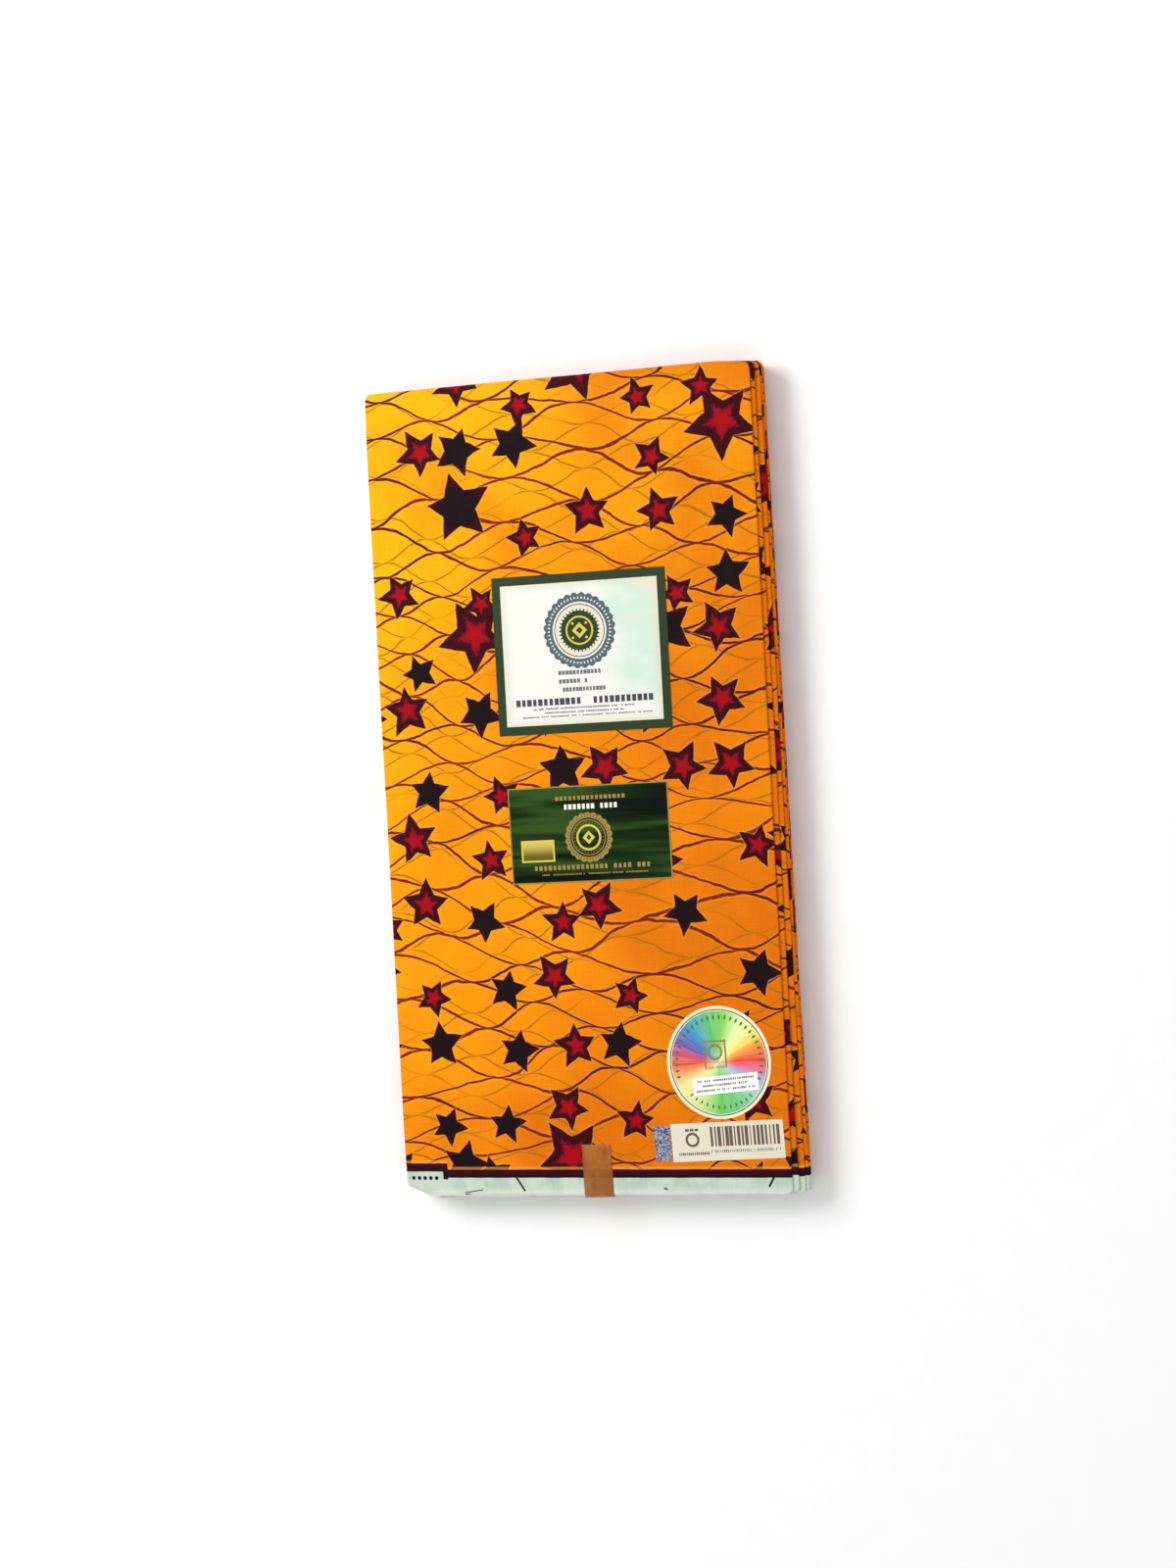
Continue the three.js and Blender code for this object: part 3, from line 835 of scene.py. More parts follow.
secondSteps = foldedLap(1) + [run(4, ("right", 2), seamX, 24)]
thirdSteps = foldedLap(2) + [run(6, ("right", 3), ("left", 3), 30)]
innerSteps = [leftTurn(3)] + laps(7, 34, 12)
bottomSteps = [leftTurn(17)] + laps(35, 36, 26)

topFace = clothPiece("topFace", clothGrid(topSteps, 190, cloth["turnedEnd"] - 4.0, underDepth=9.0), cotton)
shownFrom = cloth["turnedEnd"] - 4.4
shownTo = pathStart(2, right - topReturn) + 0.6


def shownByTopFace(grid, j, i):
    # what of the top lap the finer top face already makes
    u = grid["u"][j, i]
    outer = grid["side"][j] > 0
    byFold = (grid["side"][j] < 0) & (j < grid["stations"] + 11)
    return (u > shownFrom - 6) & (u < shownTo) & (outer | byFold)


topUnder = clothPiece("topLapUnder", clothGrid(underSteps, 70, 0.0), cotton, shownByTopFace)
secondLap = clothPiece("secondLap", clothGrid(secondSteps, 80, pathStart(2, seamX)), cotton)
thirdLap = clothPiece("thirdLap", clothGrid(thirdSteps, 80, pathStart(4, seamX)), cotton)
innerLaps = clothPiece("innerLaps", clothGrid(innerSteps, 16, pathStart(7, left)), cotton)
bottomLap = clothPiece("bottomLap", clothGrid(bottomSteps, 40, pathStart(35, left)), cotton)
wholeWidth = cloth["width"] * mm
underArea = 0.46  # of the top lap's cloth, what the top face doesn't make, in square metres
for piece, node, wide, area, below in (
    (topFace, "top_lap", wholeWidth / 2 + 0.009, None, "topLapUnder"),
    (topUnder, "top_lap", wholeWidth, underArea, "secondLap"),
    (secondLap, "second_lap", wholeWidth, None, "thirdLap"),
    (thirdLap, "third_lap", wholeWidth, None, "innerLaps"),
    (innerLaps, "inner_laps", wholeWidth, None, "bottomLap"),
    (bottomLap, "bottom_lap", wholeWidth, None, "floor"),
):
    placed(piece, node)
    print(piece.name, "made:", len(piece.data.polygons), "faces")


# Shapes for the labels: flat outlines in millimetres, laid on the cloth afterwards

def gridShape(width, height, across=1, along=1):
    xs = np.linspace(-width / 2, width / 2, across + 1)
    ys = np.linspace(-height / 2, height / 2, along + 1)
    points = np.array([(x, y) for y in ys for x in xs])
    row = across + 1
    firsts = [j * row + i for j in range(along) for i in range(across)]
    return points, [[a, a + 1, a + row + 1, a + row] for a in firsts]


def discShape(radius, inner=0.0, rings=3, segments=96, scallops=0, depth=0.0):
    angles = np.linspace(0, 2 * math.pi, segments, endpoint=False)
    radii = np.linspace(inner, radius, rings + 1)[0 if inner else 1:]
    points, faces = [], []
    for k, r in enumerate(radii):
        wave = depth * np.abs(np.sin(angles * scallops / 2)) if k == len(radii) - 1 else 0.0
        points += list(zip((r + wave) * np.cos(angles), (r + wave) * np.sin(angles)))
    for k in range(len(radii) - 1):
        for i in range(segments):
            a, b = k * segments + i, k * segments + (i + 1) % segments
            faces.append([a, a + segments, b + segments, b])
    if not inner:
        points.append((0.0, 0.0))
        faces += [[len(points) - 1, i, (i + 1) % segments] for i in range(segments)]
    return np.array(points), faces


def nodeTree(name, counts, lengths):
    # an empty tree with its named inputs, and its input and output sockets
    tree = bpy.data.node_groups.new(name, "GeometryNodeTree")
    inputs = [("Geometry", "Geometry"), *((label, "Int") for label in counts)]
    inputs += [*((label, "Float") for label in lengths), ("Material", "Material")]
    for label, kind in inputs:
        tree.interface.new_socket(label, in_out="INPUT", socket_type="NodeSocket" + kind)
    tree.interface.new_socket("Geometry", in_out="OUTPUT", socket_type="NodeSocketGeometry")
    return tree, tree.nodes.new("NodeGroupInput").outputs, tree.nodes.new("NodeGroupOutput").inputs


def randomNumber(low, high, seed, kind="FLOAT"):
    node = newNode("FunctionNodeRandomValue", seed)
    node.data_type = kind
    feed(node.inputs["Seed"], seed)
    if kind == "BOOLEAN":  # here low is the share that is chosen
        feed(node.inputs["Probability"], low)
        return node.outputs[3]
    feed(node.inputs[2], low)
    feed(node.inputs[3], high)
    return node.outputs[1]


def scattered(points, instance, scale, rotation=None, chosen=None):
    # put an instance on every point and realize them all
    node = newNode("GeometryNodeInstanceOnPoints", points)
    given = {"Points": points, "Instance": instance, "Scale": scale}
    given.update({"Rotation": rotation, "Selection": chosen})
    for label, value in given.items():
        if value is not None:
            feed(node.inputs[label], value)
    realized = newNode("GeometryNodeRealizeInstances", points)
    feed(realized.inputs[0], node.outputs[0])
    return realized.outputs[0]


def finished(geometry, material, output):
    node = newNode("GeometryNodeSetMaterial", geometry)
    feed(node.inputs["Geometry"], geometry)
    feed(node.inputs["Material"], material)
    feed(output, node.outputs[0])


def rowTree():
    # a row of plain blocks, uneven in width, with some left out
    lengths = ("Length", "Height", "Least", "Most", "Kept")
    tree, given, result = nodeTree("rowOfBlocks", ("Count", "Seed"), lengths)
    step = calc("DIVIDE", given["Length"], given["Count"])
    line = tree.nodes.new("GeometryNodeMeshLine")
    feed(line.inputs["Count"], given["Count"])
    first = calc("MULTIPLY_ADD", given["Length"], -0.5, times(step, 0.5))
    feed(line.inputs["Start Location"], join(first, 0.0))
    feed(line.inputs["Offset"], join(step, 0.0))
    block = tree.nodes.new("GeometryNodeMeshGrid")
    for socket, value in zip(block.inputs, (1.0, 1.0, 2, 2)):
        socket.default_value = value
    wide = times(randomNumber(given["Least"], given["Most"], given["Seed"]), step)
    scale = join(wide, given["Height"], 1.0)
    chosen = randomNumber(given["Kept"], None, plus(given["Seed"], 7.0), "BOOLEAN")
    blocks = scattered(line.outputs[0], block.outputs[0], scale, chosen=chosen)
    finished(blocks, given["Material"], result[0])
    return tree


def ringTree():
    # small shapes round a circle, or round a part of it
    lengths = ("Radius", "Long", "Wide", "Sweep")
    tree, given, result = nodeTree("ringOfShapes", ("Count", "Corners"), lengths)
    circle = tree.nodes.new("GeometryNodeMeshCircle")
    feed(circle.inputs["Vertices"], given["Count"])
    feed(circle.inputs["Radius"], given["Radius"])
    shape = tree.nodes.new("GeometryNodeMeshCircle")
    shape.fill_type = "NGON"
    feed(shape.inputs["Vertices"], given["Corners"])
    shape.inputs["Radius"].default_value = 1.0
    index = tree.nodes.new("GeometryNodeInputIndex").outputs[0]
    share = calc("DIVIDE", index, given["Count"])
    rotation = join(0.0, 0.0, times(share, 2 * math.pi))
    chosen = calc("LESS_THAN", share, given["Sweep"])
    scale = join(given["Long"], given["Wide"], 1.0)
    shapes = scattered(circle.outputs[0], shape.outputs[0], scale, rotation, chosen)
    finished(shapes, given["Material"], result[0])
    return tree


def bakedNodes(name, tree, values, points=(), edges=()):
    # run a tree on a small mesh and keep the plain mesh that comes out
    mesh = bpy.data.meshes.new(name)
    mesh.from_pydata(list(points), list(edges), [])
    holder = bpy.data.objects.new(name, mesh)
    bpy.context.scene.collection.objects.link(holder)
    modifier = holder.modifiers.new("nodes", "NODES")
    modifier.node_group = tree
    sockets = {item.name: item.identifier for item in tree.interface.items_tree if item.in_out == "INPUT"}
    for key, value in values.items():
        modifier[sockets[key]] = value
    graph = bpy.context.evaluated_depsgraph_get()
    result = bpy.data.meshes.new_from_object(holder.evaluated_get(graph), depsgraph=graph)
    bpy.data.objects.remove(holder)
    place = np.empty(len(result.vertices) * 3)
    result.vertices.foreach_get("co", place)
    return place.reshape(-1, 3), [list(polygon.vertices) for polygon in result.polygons]


rows, rings = rowTree(), ringTree()


def rowShape(count, length, height, widths, kept, seed, material):
    values = {"Count": count, "Length": length, "Height": height, "Least": widths[0], "Most": widths[1]}
    values.update({"Kept": kept, "Seed": seed, "Material": material})
    points, faces = bakedNodes("row", rows, values)
    return points[:, :2], faces


def textRows(lines, widths, tilt, lift):
    # rows of plain uneven blocks in the places of the lines of text
    parts = []
    for count, length, height, place, kept, ink, seed in lines:
        row = rowShape(count, length, height, widths, kept, seed, ink)
        parts.append((row, place, tilt, lift, ink))
    return parts


def ringShape(count, radius, long, wide, corner, material, sweep=1.0):
    values = {"Count": count, "Radius": radius, "Long": long, "Wide": wide, "Corners": corner}
    values.update({"Sweep": sweep, "Material": material})
    points, faces = bakedNodes("ring", rings, values)
    return points[:, :2], faces


def thickened(points, faces, thickness):
    # a thin closed plate: the faces, their undersides and a rim
    count = len(points)
    under = [[index + count for index in reversed(face)] for face in faces]
    edges = {(a, b) for face in faces for a, b in zip(face, face[1:] + face[:1])}
    rim = [[b, a, a + count, b + count] for a, b in sorted(edges) if (b, a) not in edges]
    return np.vstack([points, points - (0, 0, thickness)]), faces + under + rim


def spun(points, degrees):
    c, s = math.cos(math.radians(degrees)), math.sin(math.radians(degrees))
    return np.stack([points[:, 0] * c - points[:, 1] * s, points[:, 0] * s + points[:, 1] * c], 1)


markThick = 0.05  # millimetres of thickness for what is printed or stuck on a label


def labelPiece(name, node, label, parts):
    # parts: shape, place on the label, tilt, height above the cloth, material, thickness if given
    materials, points, faces, index = [], [], [], []
    total = 0
    for shape, offset, tilt, lift, material, *thickness in parts:
        flat = spun(spun(shape[0], tilt) + offset, label["turn"]) + label["centre"]
        z = topHeight(flat[:, 0], flat[:, 1], 0.6) + lift
        solid, sides = thickened(np.column_stack([flat, z]), shape[1], *(thickness or [markThick]))
        if material not in materials:
            materials.append(material)
        points.append(solid)
        faces += [[total + k for k in side] for side in sides]
        index += [materials.index(material)] * len(sides)
        total += len(solid)
    piece = meshPiece(name, toFrame(np.vstack(points)), faces, materials, materialIndex=index, sharp=30)
    placed(piece, node)


# Label papers, foils, films and inks

def plainFinish(name, colour, roughness, vary=0.12, scale=300.0, relief=0.00002, **sockets):
    # one colour with a fine grain and a slow change of depth
    material, tree, shader = newMaterial(name, roughness, **sockets)
    point = objectPoint(tree)
    grain = noise(point, scale, 3.0, dimensions="3D")
    slow = noise(point, 18.0, 2.0, dimensions="3D")
    shade = calc("MULTIPLY_ADD", plus(grain, slow), vary, 1.0 - vary)
    feed(shader.inputs["Base Color"], vectorCalc("SCALE", colour[:3], scale=shade))
    feed(shader.inputs["Normal"], bump(grain, relief, 0.5))
    return material


def labelCoords(tree, centre):
    # millimetres from a label's middle
    mapping = tree.nodes.new("ShaderNodeMapping")
    mapping.vector_type = "TEXTURE"
    feed(mapping.inputs["Vector"], objectPoint(tree))
    mapping.inputs["Location"].default_value = Vector(toFrame((*centre, cloth["height"])))
    mapping.inputs["Scale"].default_value = (mm, mm, mm)
    return mapping.outputs[0]


def pearlPaper(centre):
    material, tree, shader = newMaterial("pearlPaper", 0.42, Coat_Weight=0.15, Coat_Roughness=0.3)
    point = labelCoords(tree, centre)
    x, y, _ = split(point)
    cloud = noise(point, 0.03, 3.0)
    across = plus(times(x, 0.009), calc("MULTIPLY_ADD", y, 0.004, cloud))
    tint = mixed(ramp(across, 0.5, 1.05, 0.0, 0.8), rgb(232, 231, 222), rgb(190, 222, 202))
    tint = mixed(ramp(across, 0.95, 1.3), tint, rgb(234, 220, 192))
    # a little darker towards the border
    sides = [times(calc("ABSOLUTE", value), 1 / half) for value, half in ((x, 61), (y, 52))]
    edge = ramp(calc("MAXIMUM", *sides), 0.86, 1.0, 0.0, 0.5)
    tint = mixed(edge, tint, rgb(204, 204, 184))
    feed(shader.inputs["Base Color"], tint)
    feed(shader.inputs["Normal"], bump(noise(point, 1.2, 3.0), 0.00004, 0.4))
    return material


def foilWithPaintedReflections(centre):
    # painted reflections: the lighter green bands across the foil, and the darker ones between them, stand
    # for light reflected in the glossy foil; its roughness follows the same bands
    sockets = {"Specular_IOR_Level": 0.08, "Coat_Weight": 0.03, "Coat_Roughness": 0.15}
    material, tree, shader = newMaterial("foilWithPaintedReflections", 0.36, **sockets)
    point = labelCoords(tree, centre)
    reflectionBands = noise(vectorCalc("MULTIPLY", point, (0.006, 0.075, 0.0)), 1.0, 2.0, 0.6)
    tint = mixed(ramp(reflectionBands, 0.42, 0.66), rgb(9, 34, 4), rgb(46, 76, 20))
    tint = mixed(ramp(reflectionBands, 0.3, 0.44, 1.0, 0.0), tint, rgb(2, 12, 3))
    feed(shader.inputs["Base Color"], tint)
    feed(shader.inputs["Roughness"], ramp(reflectionBands, 0.35, 0.65, 0.3, 0.5))
    feed(shader.inputs["Normal"], bump(noise(point, 0.09, 2.0), 0.0005, 0.35))
    return material


def chipFoilWithPaintedReflection(centre, low, high):
    # dull gold with a painted reflection: it brightens from its lower edge to its upper one
    material, tree, shader = newMaterial("chipFoilWithPaintedReflection", 0.36, Metallic=0.25, Specular_IOR_Level=0.15)
    _, y, _ = split(labelCoords(tree, centre))
    tint = mixed(ramp(y, low, high), rgb(104, 88, 18), rgb(208, 188, 92))
    feed(shader.inputs["Base Color"], tint)
    return material


def rainbowFoil(centre, stops):
    sockets = {"Metallic": 0.15, "Specular_IOR_Level": 0.2, "Coat_Weight": 0.06, "Coat_Roughness": 0.12}
    material, tree, shader = newMaterial("rainbowFoil", 0.34, **sockets)
    point = labelCoords(tree, centre)
    x, y, _ = split(point)
    angle = calc("ARCTAN2", y, x)
    outwards = times(vectorCalc("LENGTH", point), 0.02)
    streaks = noise(join(times(angle, 9.0), outwards), 1.0, 3.0)
    share = calc("MULTIPLY_ADD", angle, 0.5 / math.pi, 0.5)
    share = plus(share, calc("MULTIPLY_ADD", streaks, 0.03, -0.015))
    node = tree.nodes.new("ShaderNodeValToRGB")
    feed(node.inputs[0], calc("FRACT", share))
    elements = node.color_ramp.elements
    for k, (degrees, colour) in enumerate(stops):
        place = (degrees + 180) / 360
        element = elements[k] if k < 2 else elements.new(place)
        element.position = place
        element.color = rgb(*colour)
    pale = ramp(streaks, 0.42, 0.85, 0.0, 0.16)
    tint = mixed(pale, node.outputs[0], rgb(255, 255, 240))
    fromMiddle = vectorCalc("LENGTH", join(x, y))
    tint = mixed(ramp(fromMiddle, 2.0, 14.0, 0.4, 0.0), tint, rgb(230, 240, 190))
    feed(shader.inputs["Base Color"], tint)
    rills = calc("SINE", times(fromMiddle, 9.0))
    feed(shader.inputs["Normal"], bump(rills, 0.00002, 0.3))
    return material


def mottled(name, first, second, scale, roughness, **sockets):
    material, tree, shader = newMaterial(name, roughness, **sockets)
    point = objectPoint(tree)
    spots = noise(point, scale, 4.0, 0.65, "3D")
    feed(shader.inputs["Base Color"], mixed(ramp(spots, 0.42, 0.6), first, second))
    feed(shader.inputs["Normal"], bump(spots, 0.00005, 0.4))
    return material


# the plain ones: name, colour, roughness, and what else differs
darkGreen = plainFinish("darkGreenPaper", rgb(34, 54, 22), 0.42, Specular_IOR_Level=0.2)
leafGreen = plainFinish("leafGreenInk", rgb(48, 112, 62), 0.4)
gold = plainFinish("goldFoil", rgb(206, 172, 84), 0.3, vary=0.2, Metallic=0.55)
brightGold = plainFinish("brightGoldFoil", rgb(232, 208, 84), 0.24, vary=0.25, Metallic=0.45)
greyInk = plainFinish("greyInk", rgb(96, 98, 104), 0.5)
darkInk = plainFinish("darkInk", rgb(40, 42, 48), 0.5)
slateInk = plainFinish("slateInk", rgb(60, 82, 92), 0.45)
brownInk = plainFinish("brownInk", rgb(92, 76, 62), 0.45)
mutedGold = plainFinish("mutedGoldFoil", rgb(158, 132, 62), 0.36, vary=0.35, Metallic=0.45)
paleInk = plainFinish("paleInk", rgb(236, 236, 226), 0.45)
creamFilm = plainFinish("creamFilm", rgb(242, 232, 200), 0.34, vary=0.06, Coat_Weight=0.15)
thinFilm = plainFinish("thinFilm", rgb(226, 217, 194), 0.36, vary=0.09, scale=60.0, Coat_Weight=0.15)
whiteFilm = plainFinish("whiteFilm", rgb(250, 250, 246), 0.35, vary=0.03)
blueFoil = mottled("blueFoil", rgb(58, 67, 106), rgb(178, 180, 188), 620.0, 0.4, Metallic=0.2)

squareLabel = {
    "centre": (12.0, 99.8),
    "size": (136.8, 118.4),
    "turn": 0,
    "border": 7.6,
    "film": 2.0,  # how much wider the film below the field is
    "seal": (-0.4, 16.4),
    # each row: blocks, length, height, place, share kept, ink and seed
    "rows": [
        (12, 34, 3.1, (-2.0, -14.4), 0.86, greyInk, 3),
        (9, 26, 3.1, (-6.0, -20.8), 0.8, greyInk, 5),
        (14, 37, 3.1, (-0.5, -27.0), 0.9, greyInk, 8),
        (25, 109, 5.0, (0.5, -35.6), 0.9, darkInk, 4),
        (60, 80, 1.2, (0.0, -40.6), 0.9, greyInk, 11),
        (48, 62, 1.2, (0.0, -43.6), 0.9, greyInk, 12),
        (70, 104, 1.0, (3.0, -46.4), 0.85, greyInk, 14),
    ],
}


def makeSquareLabel():
    wide, tall = squareLabel["size"]
    seal = squareLabel["seal"]
    fieldWide, fieldTall = wide - 2 * squareLabel["border"], tall - 2 * squareLabel["border"]
    film = squareLabel["film"]
    parts = [
        (gridShape(wide, tall, 30, 26), (0, 0), 0, 0.2, darkGreen, 0.14),
        (gridShape(fieldWide + film, fieldTall + film, 28, 24), (0, 0), 0, 0.25, thinFilm),
        (gridShape(fieldWide, fieldTall, 28, 24), (0, 0), 0, 0.3, pearlPaper(squareLabel["centre"])),
        (discShape(21.0, 0.0, 4), seal, 0, 0.33, thinFilm),
        (discShape(26.6, 21.2, 4, 192, 28, 1.8), seal, 0, 0.35, slateInk),
        (ringShape(56, 24.2, 1.5, 0.8, 3, paleInk), seal, 0, 0.4, paleInk),
        (discShape(21.0, 20.2, 1), seal, 0, 0.35, paleInk),
        (discShape(19.8, 19.1, 1), seal, 0, 0.35, darkInk),
        (discShape(14.6, 0.0, 4), seal, 0, 0.35, darkGreen),
        (ringShape(34, 14.8, 2.0, 1.2, 3, darkGreen), seal, 0, 0.34, darkGreen),
        (discShape(10.8, 9.5, 1), seal, 0, 0.4, brightGold),
        (gridShape(8.4, 8.4), seal, 45, 0.4, brightGold),
        (gridShape(3.8, 3.8), seal, 45, 0.45, darkGreen),
        (ringShape(4, 7.5, 1.0, 1.0, 12, brightGold), seal, 45, 0.4, brightGold),
    ]
    parts += textRows(squareLabel["rows"], (0.55, 0.9), 0, 0.35)
    labelPiece("squareLabel", "label_square", squareLabel, parts)


oblongLabel = {
    "centre": (10.8, -34.7),
    "size": (126.6, 72.0),
    "turn": 0.3,
    "border": 1.0,
    "seal": (-0.6, -2.9),
    "chip": (-41.5, -11.7),
    "rows": [
        (16, 56, 3.0, (2.0, 26.8), 0.9, mutedGold, 21),
        (12, 43, 3.8, (2.0, 20.3), 0.92, paleInk, 22),
        (26, 96, 3.4, (2.5, -24.6), 0.9, mutedGold, 23),
        (66, 84, 1.1, (2.5, -29.7), 0.9, mutedGold, 24),
    ],
}


def makeOblongLabel():
    wide, tall = oblongLabel["size"]
    both = 2 * oblongLabel["border"]
    centre, seal, chip = oblongLabel["centre"], oblongLabel["seal"], oblongLabel["chip"]
    parts = [
        (gridShape(wide, tall, 28, 16), (0, 0), 0, 0.2, mutedGold, 0.14),
        (gridShape(wide - both, tall - both, 28, 16), (0, 0), 0, 0.26, foilWithPaintedReflections(centre)),
        (discShape(17.6, 14.6, 2, 160, 22, 1.3), seal, 0, 0.31, mutedGold),
        (ringShape(44, 16.0, 1.0, 0.5, 3, darkGreen), seal, 0, 0.36, darkGreen),
        (discShape(13.4, 12.7, 1), seal, 0, 0.31, mutedGold),
        (ringShape(30, 11.4, 0.4, 0.4, 8, mutedGold), seal, 0, 0.31, mutedGold),
        (discShape(9.8, 8.2, 1), seal, 0, 0.31, brightGold),
        (gridShape(7.0, 7.0), seal, 45, 0.31, brightGold),
        (gridShape(3.0, 3.0), seal, 45, 0.36, darkGreen),
        (gridShape(26.6, 16.4, 6, 4), chip, 0, 0.31, brightGold),
        (gridShape(23.8, 13.6, 6, 4), chip, 0, 0.34, chipFoilWithPaintedReflection(centre, -17.0, -6.0), 0.03),
    ]
    parts += textRows(oblongLabel["rows"], (0.5, 0.8), 0, 0.31)
    labelPiece("oblongLabel", "label_oblong", oblongLabel, parts)


roundSticker = {
    "centre": (102.0, -206.8),
    "radius": 39.9,
    "taller": 1.045,  # its height over its width
    "turn": 0,
    "note": (4.5, -15.2),
    "noteTilt": 5,
    "rows": [
        (26, 44, 1.5, (4.7, -11.8), 0.88, greyInk, 31),
        (22, 36, 1.5, (4.5, -15.2), 0.88, greyInk, 32),
        (34, 46, 1.5, (4.3, -18.6), 0.88, leafGreen, 33),
        (14, 17, 2.0, (-2.4, -3.4), 0.9, gold, 34),
    ],
}
# the foil's colours, each at its angle round the sticker
rainbow = [
    (-180, (232, 78, 60)), (-168, (248, 158, 86)), (-146, (248, 234, 160)), (-116, (204, 232, 144)),
    (-90, (104, 198, 90)), (-62, (126, 204, 134)), (-40, (164, 212, 204)), (-24, (186, 172, 208)),
    (-10, (236, 108, 140)), (3, (236, 62, 58)), (20, (248, 148, 58)), (40, (250, 236, 112)),
    (60, (236, 248, 180)), (80, (138, 214, 90)), (98, (92, 198, 90)), (118, (86, 176, 172)),
    (138, (72, 128, 200)), (154, (116, 80, 172)), (167, (206, 62, 112)), (180, (232, 78, 60)),
]


def makeRoundSticker():
    radius, tilt, taller = roundSticker["radius"], roundSticker["noteTilt"], roundSticker["taller"]
    ring = radius - 7.6  # where the ring of marks runs
    parts = [
        (discShape(radius, 0.0, 8), (0, 0), 0, 0.2, creamFilm, 0.14),
        (discShape(radius - 2.2, radius - 3.0, 1), (0, 0), 0, 0.25, leafGreen),
        (discShape(radius - 3.6, 0.0, 8), (0, 0), 0, 0.25, rainbowFoil(roundSticker["centre"], rainbow)),
        (ringShape(46, ring, 2.1, 0.95, 4, leafGreen, 0.62), (0, 0), -22, 0.3, leafGreen),
        (ringShape(46, ring, 1.8, 0.8, 4, leafGreen, 0.24), (0, 0), -133, 0.3, leafGreen),
        (gridShape(50.0, 12.4, 10, 3), roundSticker["note"], tilt, 0.3, whiteFilm),
        (gridShape(17.5, 1.2), (-2.5, 15.0), 2, 0.3, mutedGold),
        (gridShape(1.2, 20.0), (-10.5, 6.0), 2, 0.3, mutedGold),
        (gridShape(1.2, 20.0), (5.5, 6.4), 2, 0.3, mutedGold),
        (discShape(5.6, 4.0, 1), (-2.4, 7.4), 0, 0.3, mutedGold),
    ]
    parts += textRows(roundSticker["rows"], (0.5, 0.8), tilt, 0.35)
    stretched = []
    for (points, faces), place, *rest in parts:
        stretched.append(((points * (1, taller), faces), (place[0], place[1] * taller), *rest))
    labelPiece("roundSticker", "sticker_round", roundSticker, stretched)


barSticker = {
    "centre": (105.4, -264.6),
    "size": (86.4, 28.4),
    "turn": 1.9,
    # the least and most width of each row's blocks, then the row
    "rows": [
        ((0.22, 0.9), (18, 54, 14.5, (13.5, 3.6), 1.0, brownInk, 41)),
        ((0.3, 0.6), (38, 54, 2.2, (13.5, -7.4), 0.85, greyInk, 42)),
        ((0.5, 0.8), (16, 24, 2.0, (-26.5, -8.6), 0.9, brownInk, 43)),
        ((0.7, 0.9), (3, 11, 1.8, (-27.0, 9.0), 1.0, brownInk, 44)),
    ],
}
patchSticker = {"centre": (55.2, -266.3), "size": (12.8, 25.8), "turn": 1.9}


def makeSmallStickers():
    parts = [(gridShape(*barSticker["size"], 20, 8), (0, 0), 0, 0.2, thinFilm, 0.1)]
    for widths, row in barSticker["rows"]:
        parts += textRows([row], widths, 0, 0.25)
    parts.append((discShape(5.4, 3.6, 1, 32), (-27.0, 1.8), 0, 0.25, brownInk))
    labelPiece("barSticker", "sticker_bars", barSticker, parts)
    parts = [(gridShape(*patchSticker["size"], 4, 8), (0, 0), 0, 0.22, blueFoil, 0.1)]
    labelPiece("patchSticker", "sticker_patch", patchSticker, parts)


closingTape = {
    "x": 2.7,
    "width": 23.1,
    "onTop": 38.4,  # how far it reaches over the top lap
    "stopsAt": 3.0,  # how high above the surface it ends
    "thickness": 0.1,
    "bend": 1.4,
    "lift": 0.14,  # off the top lap
    "gap": 0.25,  # off the laps' ends
    "columns": 13,
}


def tapeFinish():
    sockets = {"Alpha": 0.56, "Specular_IOR_Level": 0.3, "Coat_Weight": 0.12, "Coat_Roughness": 0.15}
    material, tree, shader = newMaterial("amberTape", 0.26, **sockets)
    point = objectPoint(tree)
    stretch = noise(vectorCalc("MULTIPLY", point, (110.0, 36.0, 60.0)), 1.0, 3.0, dimensions="3D")
    tint = mixed(ramp(stretch, 0.35, 0.7), rgb(166, 90, 24), rgb(200, 124, 50))
    feed(shader.inputs["Base Color"], tint)
    feed(shader.inputs["Normal"], bump(stretch, 0.0001, 0.4))
    return material


def makeTape():
    # on the cloth, over the near edge and down the laps' ends
    half, bend, columns = closingTape["width"] / 2, closingTape["bend"], closingTape["columns"]
    points = []
    xs = np.linspace(-half, half, columns) + closingTape["x"]
    allLaps = np.arange(1, cloth["laps"] + 1)
    for x in xs:
        ends = [nearEnd(allLaps, side, x, noEdge).min() for side in (1, -1)]
        outer = min(ends) - closingTape["gap"]
        ys = np.linspace(near + closingTape["onTop"], outer + bend, 22)
        heights = [float(topHeight(x, max(y, near + 1.5), 0.9)) + closingTape["lift"] for y in ys]
        column = [(x, y, z) for y, z in zip(ys, heights)]
        top = column[-1][2]
        for angle in np.radians([105, 125, 145, 165, 180]):
            column.append((x, outer + bend + bend * math.cos(angle), top - bend + bend * math.sin(angle)))
        column += [(x, outer, z) for z in np.linspace(top - bend - 1.5, closingTape["stopsAt"], 10)]
        points += column
    row = len(points) // columns
    firsts = [i * row + j for i in range(columns - 1) for j in range(row - 1)]
    faces = [[a, a + 1, a + row + 1, a + row] for a in firsts]
    tape = meshPiece("closingTape", toFrame(points), faces, [tapeFinish()], sharp=None)
    wall = tape.modifiers.new("thickness", "SOLIDIFY")
    wall.thickness = closingTape["thickness"] * mm
    wall.offset = 1
    applied(tape)
    placed(tape, "closing_tape")


makeSquareLabel()
makeOblongLabel()
makeRoundSticker()
makeSmallStickers()
makeTape()
print("labels and tape made")


# Loose weft threads along the selvedges, at the near end

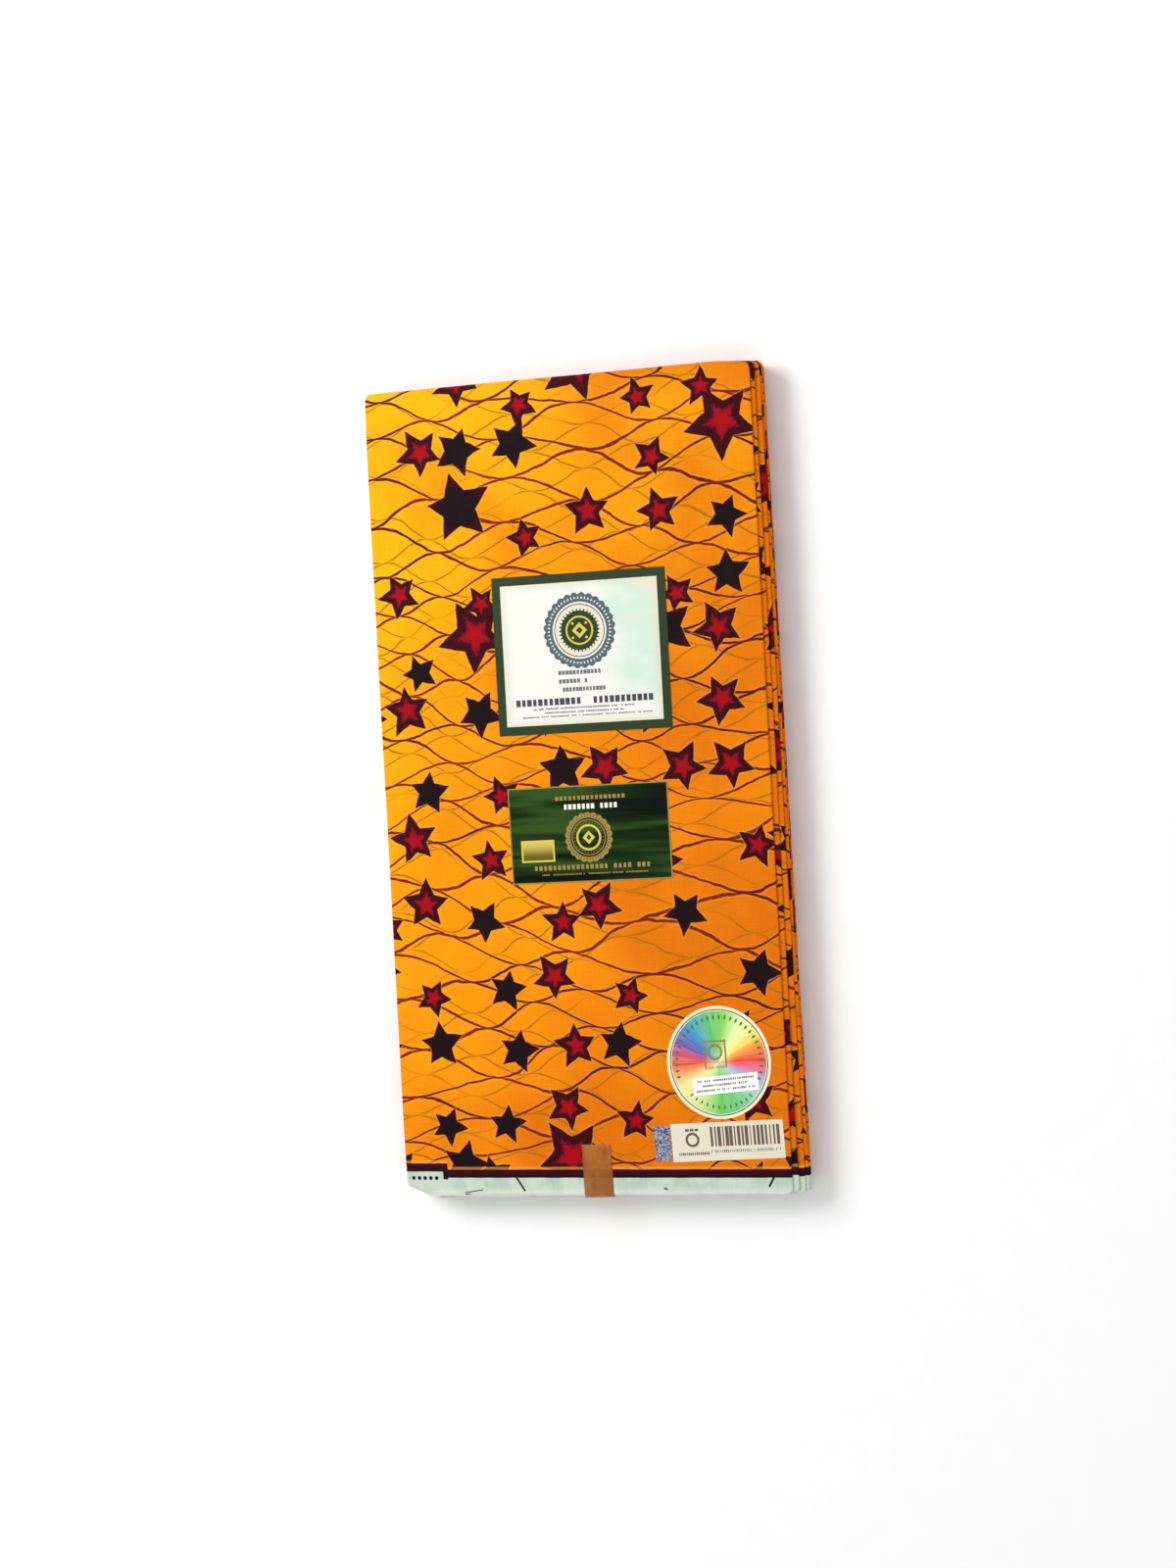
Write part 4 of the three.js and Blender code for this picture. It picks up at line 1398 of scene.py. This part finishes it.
def threadTree():
    # short threads stand out of the edges they are given, at uneven lengths and angles
    lengths = ("Spacing", "Shortest", "Longest", "Thickness", "Kept")
    tree, given, result = nodeTree("looseThreads", ("Seed",), lengths)
    curve = tree.nodes.new("GeometryNodeMeshToCurve")
    feed(curve.inputs[0], given["Geometry"])
    spots = tree.nodes.new("GeometryNodeCurveToPoints")
    spots.mode = "LENGTH"
    feed(spots.inputs["Curve"], curve.outputs[0])
    feed(spots.inputs["Length"], given["Spacing"])
    thread = tree.nodes.new("GeometryNodeMeshCone")
    for socket, value in (("Vertices", 3), ("Radius Top", 0.25), ("Radius Bottom", 1.0), ("Depth", 1.0)):
        thread.inputs[socket].default_value = value
    seed = given["Seed"]
    long = randomNumber(given["Shortest"], given["Longest"], seed)
    bend = randomNumber(1.2, 2.1, plus(seed, 1.0))
    swing = randomNumber(-0.9, 0.9, plus(seed, 2.0))
    chosen = randomNumber(given["Kept"], None, plus(seed, 3.0), "BOOLEAN")
    scale = join(given["Thickness"], given["Thickness"], long)
    turned = join(bend, 0.0, swing)
    threads = scattered(spots.outputs[0], thread.outputs[0], scale, turned, chosen)
    finished(threads, given["Material"], result[0])
    return tree


selvedgeThreads = {"Spacing": 3.2, "Shortest": 0.3, "Longest": 1.3, "Thickness": 0.075}
threadShare = 0.55  # of the places along a selvedge, those with a loose thread
threadLine = {"fromLeft": 3.0, "fromFold": 8.0, "steps": 40, "inside": 0.12}


def makeThreads():
    points, edges = [], []
    for lap in range(1, cloth["laps"] + 1):
        stop = float(edgeAt("right", (lap + 1) // 2, near)) - threadLine["fromFold"]
        for side in (1, -1):
            xs = np.linspace(left + threadLine["fromLeft"], stop, threadLine["steps"])
            ys = nearEnd(lap, side, xs, noEdge) + threadLine["inside"]
            # side 1 is above on the odd laps and below on the even ones
            upward = 1 if (lap % 2 == 1) == (side > 0) else -1
            zs = lapHeight(lap, xs, near) + upward * layer / 2
            start = len(points)
            points += [tuple(point) for point in toFrame(np.stack([xs, ys, zs], 1))]
            edges += [(start + k, start + k + 1) for k in range(len(xs) - 1)]
    material = plainFinish("selvedgeThread", rgb(214, 228, 212), 0.75)
    values = {key: size * mm for key, size in selvedgeThreads.items()}
    values.update({"Kept": threadShare, "Seed": 5, "Material": material})
    spots, faces = bakedNodes("threads", threadTree(), values, points, edges)
    spots[:, 2] = np.maximum(spots[:, 2], 0.05 * mm)  # none goes below the surface it all lies on
    threads = meshPiece("selvedgeThreads", spots, faces, [material], sharp=None)
    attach(threads, "root")
    print("threads made:", len(faces), "faces")


makeThreads()


# Floor, light and camera

def pale(name, red, green, blue, roughness):
    material, tree, shader = newMaterial(name, roughness)
    grain = noise(objectPoint(tree), 40.0, 3.0, dimensions="3D")
    light, dark = rgb(red, green, blue), rgb(red - 4, green - 4, blue - 4)
    feed(shader.inputs["Base Color"], mixed(grain, light, dark))
    return material


def makeFloor():
    half = 4.0
    corner = [(-half, -half, 0), (half, -half, 0), (half, half, 0), (-half, half, 0)]
    floor = meshPiece("floor", corner, [(0, 1, 2, 3)], [pale("floorPaint", 250, 250, 250, 0.8)], sharp=None)


def areaLight(name, place, size, power):
    lamp = bpy.data.lights.new(name, "AREA")
    lamp.shape = "SQUARE"
    lamp.size = size
    lamp.energy = power
    light = bpy.data.objects.new(name, lamp)
    light.location = place
    light.rotation_euler = (-Vector(place)).to_track_quat("-Z", "Y").to_euler()
    bpy.context.scene.collection.objects.link(light)


view = {
    "place": (821.3, 39.3, 2265.4),  # millimetres, in the folded cloth's own frame
    "forward": (-0.3402, -0.0157, -0.9402),
    "up": (0.0456, 0.9984, -0.0319),
    "lens": 73.6,
}
worldLight = 0.68
lamps = [  # name, place and size in metres, watts
    ("key", (-1.4, 1.0, 1.7), 1.3, 40.0),
    ("fill", (1.2, -1.4, 2.2), 1.8, 6.0),
]


def makeCamera():
    camera = bpy.data.cameras.new("camera")
    camera.lens = view["lens"]
    camera.sensor_width = 36.0
    camera.clip_start = 0.05
    camera.clip_end = 50.0
    forward = Vector(view["forward"]).normalized()
    side = forward.cross(Vector(view["up"])).normalized()
    up = side.cross(forward)
    place = Matrix((side, up, -forward)).transposed().to_4x4()
    place.translation = Vector(toFrame(view["place"]))
    holder = bpy.data.objects.new("camera", camera)
    holder.matrix_world = place
    bpy.context.scene.collection.objects.link(holder)
    bpy.context.scene.camera = holder


def makeLight():
    world = bpy.data.worlds.new("studio")
    world.use_nodes = True
    background = world.node_tree.nodes["Background"]
    background.inputs["Color"].default_value = (1, 1, 1, 1)
    background.inputs["Strength"].default_value = worldLight
    bpy.context.scene.world = world
    for lamp in lamps:
        areaLight(*lamp)
    bpy.context.scene.view_settings.view_transform = "Standard"


makeFloor()
makeCamera()
makeLight()
print("floor, camera and light set")
